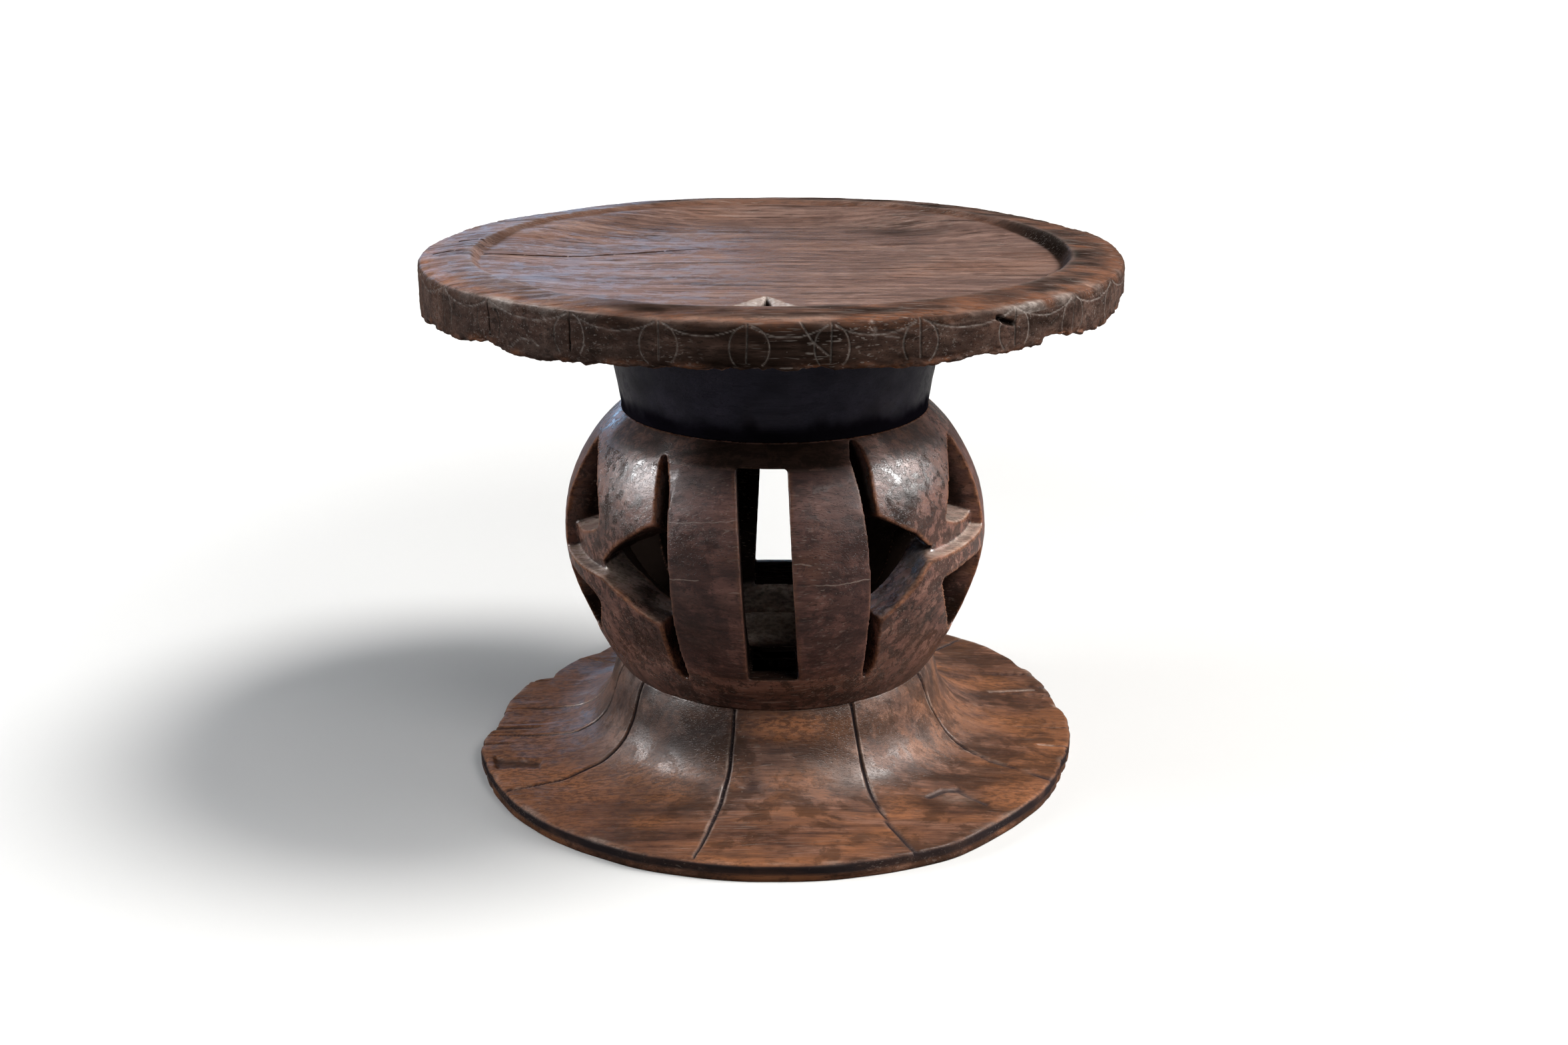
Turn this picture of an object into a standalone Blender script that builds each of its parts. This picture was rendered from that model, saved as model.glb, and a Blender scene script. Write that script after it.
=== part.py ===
"""A low carved wooden stool: dished round seat, flared neck, openwork globe and trumpet foot.

The stool stands on z = 0 with its axis on Z. Its front looks along -Y. Metres throughout.
Angles on the globe are degrees from the front, growing towards the side ribs.
"""

import math
from dataclasses import dataclass

import bmesh
import bpy
from mathutils import Matrix

# Heights of the stacked pieces, from the floor up
FOOT_HEIGHT = 0.075
CUP_HEIGHT = 0.030
OPENWORK_HEIGHT = 0.153
CROWN_HEIGHT = 0.015
NECK_HEIGHT = 0.080
SEAT_EDGE_HEIGHT = 0.036

# Seat: a round board with a raised rim around a shallow dish
SEAT_RADIUS = 0.250
RIM_WIDTH = 0.033
DISH_DEPTH = 0.009
DISH_WALL_RUN = 0.009
RIM_EDGE_DROP = 0.004
SEAT_EDGE_ROUND = 0.006

# Neck: a collar that flares from the globe up to the seat
NECK_FOOT_RADIUS = 0.1145
NECK_HEAD_RADIUS = 0.1300
NECK_FLARE = 1.3

# Globe: outer radius at its equator, and the hollow inside it
GLOBE_RADIUS = 0.1593
GLOBE_FOOT_RADIUS = 0.1210
EQUATOR_ABOVE_CUP = 0.070
UPPER_BULGE = 2.13
LOWER_BULGE = 1.52
HOLLOW_RADIUS = 0.125
HOLLOW_END_RADIUS = 0.075
HOLLOW_BULGE = 2.0

# Openwork: the window between the front ribs, and how far the upper panels sit behind the lower ones
WINDOW_WIDTH = 0.0355
WINDOW_SHIFT = -0.0045
WINDOW_LEAN = 3.0
PANEL_STEP = 0.009

# Foot: a column that flares into a thin round plate, with the well that carries the globe's hollow on down
FOOT_COLUMN_RADIUS = 0.1205
FOOT_PLATE_RADIUS = 0.2308
FOOT_PLATE_EDGE = 0.013
FOOT_PLATE_ROUND = 0.003
FOOT_FLARE_REACH = 0.070
FOOT_FLARE_BULGE = 2.2
WELL_RADIUS = 0.055
WELL_FLOOR = 0.045

# Joints: round stub tenons in blind mortises, with one clearance everywhere
JOINT_GAP = 0.0003
SEAT_TENON_RADIUS = 0.060
SEAT_TENON_LENGTH = 0.012
CROWN_TENON_RADIUS = 0.050
CROWN_TENON_LENGTH = 0.006
FOOT_TENON_RADIUS = 0.070
FOOT_TENON_LENGTH = 0.012
PEG_RADIUS = 0.008
PEG_LENGTH = 0.008
RIB_PEG_SHIFT = 2.0  # degrees that a front rib's peg stands from its middle, away from the window

# Smoothness of the turned forms, of the globe's profile and of carved curves
TURN_STEPS = 48
PROFILE_STEPS = 8
FLARE_STEPS = 8
NECK_STEPS = 5
EDGE_STEPS = 4
CURVE_STEPS = 5
PRISM_LAYERS = 4
PEG_SIDES = 12
MERGE_DISTANCE = 0.00001

# Reach of the blocks that cut the openwork: shares of the hollow's end radius and of the globe's radius
PRISM_START = 0.9
PRISM_END = 1.05
WINDOW_CUT_MIDDLE = 0.75

# Levels that follow from the stack
CUP_BOTTOM = FOOT_HEIGHT
CUP_TOP = CUP_BOTTOM + CUP_HEIGHT
CROWN_BOTTOM = CUP_TOP + OPENWORK_HEIGHT
NECK_BOTTOM = CROWN_BOTTOM + CROWN_HEIGHT
SEAT_BOTTOM = NECK_BOTTOM + NECK_HEIGHT
SEAT_TOP = SEAT_BOTTOM + SEAT_EDGE_HEIGHT
EQUATOR = CUP_TOP + EQUATOR_ABOVE_CUP


@dataclass
class Carving:
    """One hand-cut quarter of the openwork. Angles in degrees, other sizes in metres."""

    ledge: float  # height above the cup of the ledge between the two panels
    rib_top: float  # angle of the front rib's outer edge, at the crown
    rib_bottom: float  # the same, at the cup
    slit_top: float  # angle of the upper panel's edge along the slit, at the crown
    slit_bottom: float  # angle of the lower panel's edge along the slit, at the cup
    star_point: float  # angle of the star opening's outer point, which lies on the ledge
    upper_shoulder: tuple  # angle and rise above the ledge where the star's upper edge meets the slit
    lower_shoulder: tuple  # angle and drop below the ledge where its lower edge meets the slit
    side_edge: float  # angle of the side rib's edge
    upper_arm: float  # height of the upper panel's arm where it meets the side rib
    lower_arm: float  # height of the lower panel's arm there
    upper_corner: tuple  # inner corner of the upper side opening: angle, rise above the ledge
    upper_sweep: tuple  # bend of that opening's curved edge: angle, drop below the crown
    upper_top: float  # drop below the crown of that opening's top
    lower_corner: tuple  # inner corner of the lower side opening: angle, drop below the ledge
    lower_sweep: tuple  # bend of that opening's curved edge: angle, rise above the cup
    lower_bottom: float  # rise above the cup of that opening's bottom


LEFT_CARVING = Carving(
    ledge=0.065,
    rib_top=32.5,
    rib_bottom=26.5,
    slit_top=34.5,
    slit_bottom=29.8,
    star_point=52.0,
    upper_shoulder=(33.2, 0.050),
    lower_shoulder=(30.8, 0.025),
    side_edge=77.5,
    upper_arm=0.016,
    lower_arm=0.010,
    upper_corner=(57.0, 0.030),
    upper_sweep=(56.5, 0.018),
    upper_top=0.0045,
    lower_corner=(55.4, 0.0255),
    lower_sweep=(58.0, 0.013),
    lower_bottom=0.002,
)

RIGHT_CARVING = Carving(
    ledge=0.0825,
    rib_top=24.4,
    rib_bottom=26.6,
    slit_top=28.3,
    slit_bottom=29.0,
    star_point=45.0,
    upper_shoulder=(28.6, 0.0395),
    lower_shoulder=(28.5, 0.0365),
    side_edge=76.5,
    upper_arm=0.009,
    lower_arm=0.016,
    upper_corner=(55.6, 0.0185),
    upper_sweep=(56.5, 0.020),
    upper_top=0.002,
    lower_corner=(49.2, 0.0195),
    lower_sweep=(52.0, 0.027),
    lower_bottom=0.002,
)

# Each quarter of the globe: its name, carving, side of the front it lies on and half turn
QUARTERS = (
    ("front_left", LEFT_CARVING, -1, 0.0),
    ("front_right", RIGHT_CARVING, 1, 0.0),
    ("back_right", LEFT_CARVING, -1, math.pi),
    ("back_left", RIGHT_CARVING, 1, math.pi),
)

# Wood colours by region: base colour, roughness
SEAT_WOOD = ((0.105, 0.052, 0.036, 1.0), 0.48)
NECK_WOOD = ((0.022, 0.018, 0.020, 1.0), 0.42)
GLOBE_WOOD = ((0.062, 0.035, 0.028, 1.0), 0.45)
RIB_WOOD = ((0.070, 0.044, 0.037, 1.0), 0.45)
FOOT_WOOD = ((0.120, 0.058, 0.036, 1.0), 0.50)


def clear_scene():
    for existing in list(bpy.data.objects):
        bpy.data.objects.remove(existing, do_unlink=True)


def collection(name):
    made = bpy.data.collections.new(name)
    bpy.context.scene.collection.children.link(made)
    return made


def wood(name, finish):
    colour, roughness = finish
    material = bpy.data.materials.new(name)
    material.use_nodes = True
    shader = material.node_tree.nodes["Principled BSDF"]
    shader.inputs["Base Color"].default_value = colour
    shader.inputs["Roughness"].default_value = roughness
    shader.inputs["Metallic"].default_value = 0.0
    return material


def bulge(share, middle, end, power):
    """Radius at a share of the way from a round form's widest level to the end of its curve."""
    return middle * (1 - share**power * (1 - (end / middle) ** power)) ** (1 / power)


def globe_radius(height):
    if height >= EQUATOR:
        share = (height - EQUATOR) / (NECK_BOTTOM - EQUATOR)
        return bulge(share, GLOBE_RADIUS, NECK_FOOT_RADIUS, UPPER_BULGE)
    share = (EQUATOR - height) / (EQUATOR - CUP_BOTTOM)
    return bulge(share, GLOBE_RADIUS, GLOBE_FOOT_RADIUS, LOWER_BULGE)


def hollow_radius(height):
    middle = (CUP_TOP + CROWN_BOTTOM) / 2
    share = abs(height - middle) / (CROWN_BOTTOM - middle)
    return bulge(share, HOLLOW_RADIUS, HOLLOW_END_RADIUS, HOLLOW_BULGE)


def upper_panel_radius(height, ledge):
    """The globe's surface, drawn in by the panel step where it nears the ledge."""
    share = max(0.0, min(1.0, (CROWN_BOTTOM - height) / (CROWN_BOTTOM - ledge)))
    return globe_radius(height) - PANEL_STEP * share * share


def levels(bottom, top, steps):
    return [bottom + (top - bottom) * i / steps for i in range(steps + 1)]


def arc(centre, radius, start, end, steps):
    """Points on an arc in the profile plane, from a start to an end angle in degrees."""
    points = []
    for i in range(steps + 1):
        turn = math.radians(start + (end - start) * i / steps)
        points.append((centre[0] + radius * math.cos(turn), centre[1] + radius * math.sin(turn)))
    return points


def sweep(start, bend, end, steps):
    """A curve from start to end that leans towards bend, without its start point."""
    points = []
    for i in range(1, steps + 1):
        t = i / steps
        weights = ((1 - t) ** 2, 2 * t * (1 - t), t * t)
        points.append(tuple(sum(w * p[k] for w, p in zip(weights, (start, bend, end))) for k in (0, 1)))
    return points


def turned(name, profile, closed, home):
    """An object turned about Z from (radius, height) points that run down its outer side."""
    mesh = bpy.data.meshes.new(name)
    count = len(profile)
    edges = [(i, i + 1) for i in range(count - 1)]
    if closed:
        edges.append((count - 1, 0))
    mesh.from_pydata([(radius, 0.0, height) for radius, height in profile], edges, [])
    made = bpy.data.objects.new(name, mesh)
    home.objects.link(made)
    screw = made.modifiers.new("Turn", "SCREW")
    screw.axis = "Z"
    screw.steps = TURN_STEPS
    screw.render_steps = TURN_STEPS
    screw.use_merge_vertices = True
    screw.merge_threshold = MERGE_DISTANCE
    screw.use_smooth_shade = True
    return made


def baked(source, home):
    """A plain mesh object with the evaluated shape of another, which is removed."""
    graph = bpy.context.evaluated_depsgraph_get()
    mesh = bpy.data.meshes.new_from_object(source.evaluated_get(graph))
    made = bpy.data.objects.new(source.name, mesh)
    made.matrix_world = source.matrix_world
    home.objects.link(made)
    name = source.name
    bpy.data.objects.remove(source, do_unlink=True)
    made.name = name
    return made


def as_cutter(made):
    made.hide_render = True
    made.display_type = "WIRE"
    return made


def boolean(made, cutter, operation):
    modifier = made.modifiers.new(f"{operation} {cutter.name}", "BOOLEAN")
    modifier.operation = operation
    modifier.object = cutter
    return made


def wrapped_prism(name, outline, side, half_turn, home):
    """A block whose outline, in (angle, height), is wrapped round the axis with radial faces."""
    inner = HOLLOW_END_RADIUS * PRISM_START
    outer = GLOBE_RADIUS * PRISM_END
    curve = bpy.data.curves.new(name, "CURVE")
    curve.dimensions = "2D"
    curve.fill_mode = "BOTH"
    curve.extrude = (outer - inner) / 2
    spline = curve.splines.new("POLY")
    spline.points.add(len(outline) - 1)
    for point, (angle, height) in zip(spline.points, outline):
        point.co = (math.radians(angle), height, 0.0, 1.0)
    spline.use_cyclic_u = True
    flat = bpy.data.objects.new(name, curve)
    home.objects.link(flat)
    made = baked(flat, home)
    shape = bmesh.new()
    shape.from_mesh(made.data)
    bmesh.ops.remove_doubles(shape, verts=shape.verts, dist=MERGE_DISTANCE)
    through = []
    for edge in shape.edges:
        start, end = (vertex.co for vertex in edge.verts)
        if (start.xy - end.xy).length < MERGE_DISTANCE:
            through.append(edge)
    bmesh.ops.subdivide_edges(shape, edges=through, cuts=PRISM_LAYERS - 1, use_grid_fill=True)
    bmesh.ops.triangulate(shape, faces=shape.faces)
    for vertex in shape.verts:
        angle, height, depth = vertex.co
        radius = (inner + outer) / 2 + depth
        turn = side * angle + half_turn
        vertex.co = (radius * math.sin(turn), -radius * math.cos(turn), height)
    bmesh.ops.recalc_face_normals(shape, faces=shape.faces)
    shape.to_mesh(made.data)
    shape.free()
    return as_cutter(made)


def pegs(name, places, bottom, length, radius, home):
    """Upright round pegs, as one object, at (angle, radius from the axis) places."""
    shape = bmesh.new()
    for turn, reach in places:
        at = Matrix.Translation((reach * math.sin(turn), -reach * math.cos(turn), bottom + length / 2))
        bmesh.ops.create_cone(
            shape, cap_ends=True, segments=PEG_SIDES, radius1=radius, radius2=radius, depth=length, matrix=at
        )
    mesh = bpy.data.meshes.new(name)
    shape.to_mesh(mesh)
    shape.free()
    made = bpy.data.objects.new(name, mesh)
    home.objects.link(made)
    return as_cutter(made)


def peg_reach(height):
    """Middle of the globe's wall at a height."""
    return (globe_radius(height) + hollow_radius(height)) / 2


def wall_profile(outer_radius, bottom, top):
    """Closed section of the globe's wall: down the outside, then up round the hollow."""
    heights = levels(bottom, top, PROFILE_STEPS)
    outside = [(outer_radius(height), height) for height in reversed(heights)]
    inside = [(hollow_radius(height), height) for height in heights]
    return outside + inside


def seat_profile():
    edge = SEAT_EDGE_ROUND
    corner = (SEAT_RADIUS - edge, SEAT_TOP - RIM_EDGE_DROP - edge)
    foot = (SEAT_RADIUS - edge, SEAT_BOTTOM + edge)
    floor = SEAT_TOP - DISH_DEPTH
    dish = SEAT_RADIUS - RIM_WIDTH
    mortise = SEAT_TENON_RADIUS + JOINT_GAP
    mortise_top = SEAT_BOTTOM + SEAT_TENON_LENGTH + JOINT_GAP
    profile = [(0.0, floor), (dish - DISH_WALL_RUN, floor)]
    profile += [(dish - DISH_WALL_RUN / 3, floor + DISH_DEPTH / 3), (dish, SEAT_TOP)]
    profile += arc(corner, edge, 75, 0, EDGE_STEPS)
    profile += arc(foot, edge, 0, -90, EDGE_STEPS)
    profile += [(mortise, SEAT_BOTTOM), (mortise, mortise_top), (0.0, mortise_top)]
    return profile


def neck_profile():
    head = SEAT_BOTTOM - JOINT_GAP
    profile = [(0.0, SEAT_BOTTOM + SEAT_TENON_LENGTH), (SEAT_TENON_RADIUS, SEAT_BOTTOM + SEAT_TENON_LENGTH)]
    profile.append((SEAT_TENON_RADIUS, head))
    for height in reversed(levels(NECK_BOTTOM, head, NECK_STEPS)):
        share = (height - NECK_BOTTOM) / (head - NECK_BOTTOM)
        flare = (NECK_HEAD_RADIUS - NECK_FOOT_RADIUS) * share**NECK_FLARE
        profile.append((NECK_FOOT_RADIUS + flare, height))
    tenon_end = NECK_BOTTOM - CROWN_TENON_LENGTH
    profile += [(CROWN_TENON_RADIUS, NECK_BOTTOM), (CROWN_TENON_RADIUS, tenon_end), (0.0, tenon_end)]
    return profile


def crown_profile():
    top = NECK_BOTTOM - JOINT_GAP
    mortise = CROWN_TENON_RADIUS + JOINT_GAP
    floor = NECK_BOTTOM - CROWN_TENON_LENGTH - JOINT_GAP
    profile = [(0.0, floor), (mortise, floor), (mortise, top)]
    heights = levels(CROWN_BOTTOM, top, EDGE_STEPS)
    profile += [(globe_radius(height), height) for height in reversed(heights)]
    profile.append((0.0, CROWN_BOTTOM))
    return profile


def cup_profile():
    """Closed section of the ring round the foot's tenon."""
    mortise = FOOT_TENON_RADIUS + JOINT_GAP
    profile = [(mortise, CUP_TOP)]
    heights = levels(CUP_BOTTOM, CUP_TOP, EDGE_STEPS)
    profile += [(globe_radius(height), height) for height in reversed(heights)]
    profile.append((mortise, CUP_BOTTOM))
    return profile


def foot_flare():
    """The hollow curve from the column down to the plate."""
    head = FOOT_HEIGHT - JOINT_GAP
    points = []
    for i in range(FLARE_STEPS + 1):
        turn = math.pi / 2 * i / FLARE_STEPS
        out = 1 - math.cos(turn) ** (2 / FOOT_FLARE_BULGE)
        down = math.sin(turn) ** (2 / FOOT_FLARE_BULGE)
        points.append((FOOT_COLUMN_RADIUS + FOOT_FLARE_REACH * out, head - (head - FOOT_PLATE_EDGE) * down))
    return points


def foot_profile():
    head = FOOT_HEIGHT - JOINT_GAP
    tenon_end = FOOT_HEIGHT + FOOT_TENON_LENGTH
    corner = (FOOT_PLATE_RADIUS - FOOT_PLATE_ROUND, FOOT_PLATE_EDGE - FOOT_PLATE_ROUND)
    profile = [(0.0, WELL_FLOOR), (WELL_RADIUS, WELL_FLOOR), (WELL_RADIUS, tenon_end)]
    profile += [(FOOT_TENON_RADIUS, tenon_end), (FOOT_TENON_RADIUS, head)]
    profile += foot_flare()
    profile += arc(corner, FOOT_PLATE_ROUND, 90, 0, EDGE_STEPS)
    profile += [(FOOT_PLATE_RADIUS, 0.0), (0.0, 0.0)]
    return profile


def upper_panel_outline(carving):
    """From the crown beside the slit, round the star opening and ledge, to the side rib and back."""
    ledge = CUP_TOP + carving.ledge + JOINT_GAP
    edge = carving.side_edge - math.degrees(JOINT_GAP / GLOBE_RADIUS)
    over = CROWN_BOTTOM + CROWN_HEIGHT
    shoulder = (carving.upper_shoulder[0], ledge + carving.upper_shoulder[1])
    corner = (carving.upper_corner[0], ledge + carving.upper_corner[1])
    bend = (carving.upper_sweep[0], CROWN_BOTTOM - carving.upper_sweep[1])
    top = (edge, CROWN_BOTTOM - carving.upper_top)
    outline = [(carving.slit_top, over), (carving.slit_top, CROWN_BOTTOM), shoulder]
    outline += [(carving.star_point, ledge), (edge, ledge), (edge, ledge + carving.upper_arm), corner]
    outline += sweep(corner, bend, top, CURVE_STEPS)
    outline.append((edge, over))
    return outline


def lower_panel_outline(carving):
    """From the cup beside the slit, up round the star opening and ledge, to the side rib and back."""
    ledge = CUP_TOP + carving.ledge
    edge = carving.side_edge - math.degrees(JOINT_GAP / GLOBE_RADIUS)
    shoulder = (carving.lower_shoulder[0], ledge - carving.lower_shoulder[1])
    corner = (carving.lower_corner[0], ledge - carving.lower_corner[1])
    bend = (carving.lower_sweep[0], CUP_TOP + carving.lower_sweep[1])
    bottom = (edge, CUP_TOP + carving.lower_bottom)
    outline = [(carving.slit_bottom, CUP_BOTTOM), (carving.slit_bottom, CUP_TOP), shoulder]
    outline += [(carving.star_point, ledge), (edge, ledge), (edge, ledge - carving.lower_arm), corner]
    outline += sweep(corner, bend, bottom, CURVE_STEPS)
    outline.append((edge, CUP_BOTTOM))
    return outline


def upright_outline(start, bottom_end, top_end):
    """A strip from one angle to another that may lean, taller than the openwork."""
    lean = (top_end - bottom_end) / OPENWORK_HEIGHT
    low_end = bottom_end - lean * CUP_HEIGHT
    high_end = top_end + lean * CROWN_HEIGHT
    return [(start, CUP_BOTTOM), (low_end, CUP_BOTTOM), (high_end, NECK_BOTTOM), (start, NECK_BOTTOM)]


def window_cutter(name, half_turn, home):
    """The leaning block that cuts the window between a pair of ribs."""
    shape = bmesh.new()
    bmesh.ops.create_cube(shape, size=1.0)
    size = Matrix.Diagonal((WINDOW_WIDTH, GLOBE_RADIUS, 2 * OPENWORK_HEIGHT, 1.0))
    lean = Matrix.Rotation(math.radians(WINDOW_LEAN), 4, "Y")
    middle = (CUP_TOP + CROWN_BOTTOM) / 2
    place = Matrix.Translation((WINDOW_SHIFT, -GLOBE_RADIUS * WINDOW_CUT_MIDDLE, middle))
    turn = Matrix.Rotation(half_turn, 4, "Z")
    bmesh.ops.transform(shape, matrix=turn @ place @ lean.inverted() @ size, verts=shape.verts)
    mesh = bpy.data.meshes.new(name)
    shape.to_mesh(mesh)
    shape.free()
    made = bpy.data.objects.new(name, mesh)
    home.objects.link(made)
    return as_cutter(made)


def peg_turn(angle, side, half_turn):
    return side * math.radians(angle) + half_turn


def wall_piece(name, outline, side, half_turn, outer_radius, material, homes):
    """A piece of the globe's wall cut to an outline in (angle, height)."""
    parts, cutters = homes
    profile = wall_profile(outer_radius, CUP_TOP + JOINT_GAP, CROWN_BOTTOM - JOINT_GAP)
    made = turned(name, profile, True, parts)
    made.data.materials.append(material)
    prism = wrapped_prism(f"{name}_outline", outline, side, half_turn, cutters)
    return boolean(made, prism, "INTERSECT")


def add_pegs(made, turn, at_top, at_bottom, cutters):
    """Stub tenons on a piece of the openwork, reaching into the crown and the cup."""
    overlap = PEG_LENGTH
    if at_top:
        bottom = CROWN_BOTTOM - JOINT_GAP - overlap
        place = [(turn, peg_reach(CROWN_BOTTOM))]
        top_peg = pegs(f"{made.name}_top_peg", place, bottom, PEG_LENGTH + overlap, PEG_RADIUS, cutters)
        boolean(made, top_peg, "UNION")
    if at_bottom:
        bottom = CUP_TOP + JOINT_GAP - PEG_LENGTH
        place = [(turn, peg_reach(CUP_TOP))]
        low_peg = pegs(f"{made.name}_low_peg", place, bottom, PEG_LENGTH + overlap, PEG_RADIUS, cutters)
        boolean(made, low_peg, "UNION")
    return made


def front_rib_turn(carving, side, half_turn):
    """Middle of a front rib, between the window and the rib's outer edge."""
    window_edge = math.degrees((WINDOW_WIDTH / 2 + side * WINDOW_SHIFT) / GLOBE_RADIUS)
    outer_edge = (carving.rib_top + carving.rib_bottom) / 2
    return peg_turn((window_edge + outer_edge) / 2 + RIB_PEG_SHIFT, side, half_turn)


def panel_turn(carving, slit, side, half_turn):
    return peg_turn((slit + carving.side_edge) / 2, side, half_turn)


def side_rib_edges(side):
    """Angles, from the front, of a side rib's two edges."""
    front = LEFT_CARVING if side < 0 else RIGHT_CARVING
    back = RIGHT_CARVING if side < 0 else LEFT_CARVING
    return front.side_edge, 180.0 - back.side_edge


def build_openwork(woods, homes):
    """Ribs and panels between the cup and the crown. Returns where their pegs stand."""
    parts, cutters = homes
    top_places, bottom_places = [], []
    for end, half_turn in (("front", 0.0), ("back", math.pi)):
        window = window_cutter(f"{end}_window", half_turn, cutters)
        for name, carving, side, turn in QUARTERS:
            if turn != half_turn:
                continue
            outline = upright_outline(0.0, carving.rib_bottom, carving.rib_top)
            rib = wall_piece(f"{name}_rib", outline, side, turn, globe_radius, woods["rib"], homes)
            boolean(rib, window, "DIFFERENCE")
            place = front_rib_turn(carving, side, turn)
            add_pegs(rib, place, True, True, cutters)
            top_places.append((place, peg_reach(CROWN_BOTTOM)))
            bottom_places.append((place, peg_reach(CUP_TOP)))
    for name, side in (("left_side_rib", -1), ("right_side_rib", 1)):
        edges = side_rib_edges(side)
        outline = upright_outline(edges[0], edges[1], edges[1])
        rib = wall_piece(name, outline, side, 0.0, globe_radius, woods["rib"], homes)
        place = peg_turn(sum(edges) / 2, side, 0.0)
        add_pegs(rib, place, True, True, cutters)
        top_places.append((place, peg_reach(CROWN_BOTTOM)))
        bottom_places.append((place, peg_reach(CUP_TOP)))
    for name, carving, side, turn in QUARTERS:
        ledge = CUP_TOP + carving.ledge

        def stepped(height, ledge=ledge):
            return upper_panel_radius(height, ledge)

        outline = upper_panel_outline(carving)
        upper = wall_piece(f"{name}_upper_panel", outline, side, turn, stepped, woods["globe"], homes)
        place = panel_turn(carving, carving.slit_top, side, turn)
        add_pegs(upper, place, True, False, cutters)
        top_places.append((place, peg_reach(CROWN_BOTTOM)))
        outline = lower_panel_outline(carving)
        lower = wall_piece(f"{name}_lower_panel", outline, side, turn, globe_radius, woods["globe"], homes)
        place = panel_turn(carving, carving.slit_bottom, side, turn)
        add_pegs(lower, place, False, True, cutters)
        bottom_places.append((place, peg_reach(CUP_TOP)))
    return top_places, bottom_places


def cut_sockets(made, places, bottom, cutters):
    """Blind holes that take the pegs, with the joint clearance all round."""
    radius = PEG_RADIUS + JOINT_GAP
    length = PEG_LENGTH + JOINT_GAP
    holes = pegs(f"{made.name}_sockets", places, bottom, 2 * length, radius, cutters)
    return boolean(made, holes, "DIFFERENCE")


def build():
    clear_scene()
    parts = collection("carved_stool")
    cutters = collection("cutters")
    homes = (parts, cutters)
    woods = {
        "seat": wood("seat_wood", SEAT_WOOD),
        "neck": wood("neck_wood", NECK_WOOD),
        "globe": wood("globe_wood", GLOBE_WOOD),
        "rib": wood("rib_wood", RIB_WOOD),
        "foot": wood("foot_wood", FOOT_WOOD),
    }
    for name, profile, closed, finish in (
        ("seat", seat_profile(), False, "seat"),
        ("neck", neck_profile(), False, "neck"),
        ("globe_crown", crown_profile(), False, "globe"),
        ("globe_cup", cup_profile(), True, "globe"),
        ("foot", foot_profile(), False, "foot"),
    ):
        turned(name, profile, closed, parts).data.materials.append(woods[finish])
    top_places, bottom_places = build_openwork(woods, homes)
    socket = PEG_LENGTH + JOINT_GAP
    cut_sockets(bpy.data.objects["globe_crown"], top_places, CROWN_BOTTOM - socket, cutters)
    cut_sockets(bpy.data.objects["globe_cup"], bottom_places, CUP_TOP - socket, cutters)
    bpy.context.view_layer.update()


build()
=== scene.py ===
import math
from itertools import product
from types import SimpleNamespace

import bmesh
import bpy
import numpy as np
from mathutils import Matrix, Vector


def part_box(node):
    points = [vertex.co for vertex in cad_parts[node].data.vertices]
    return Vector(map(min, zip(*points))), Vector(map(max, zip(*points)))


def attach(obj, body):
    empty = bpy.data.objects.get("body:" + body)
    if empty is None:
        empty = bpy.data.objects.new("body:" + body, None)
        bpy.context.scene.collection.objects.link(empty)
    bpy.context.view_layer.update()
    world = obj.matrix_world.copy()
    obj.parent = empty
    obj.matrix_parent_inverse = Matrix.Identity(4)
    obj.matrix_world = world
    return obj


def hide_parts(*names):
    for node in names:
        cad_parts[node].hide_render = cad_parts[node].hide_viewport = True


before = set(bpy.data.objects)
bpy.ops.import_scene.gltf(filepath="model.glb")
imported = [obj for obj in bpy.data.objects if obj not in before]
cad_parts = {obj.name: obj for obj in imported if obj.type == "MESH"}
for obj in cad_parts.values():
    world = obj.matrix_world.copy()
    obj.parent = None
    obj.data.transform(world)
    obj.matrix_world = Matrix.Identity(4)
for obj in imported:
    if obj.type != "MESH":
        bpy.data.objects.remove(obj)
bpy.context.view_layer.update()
print("frame loaded,", len(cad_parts), "nodes")

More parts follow.
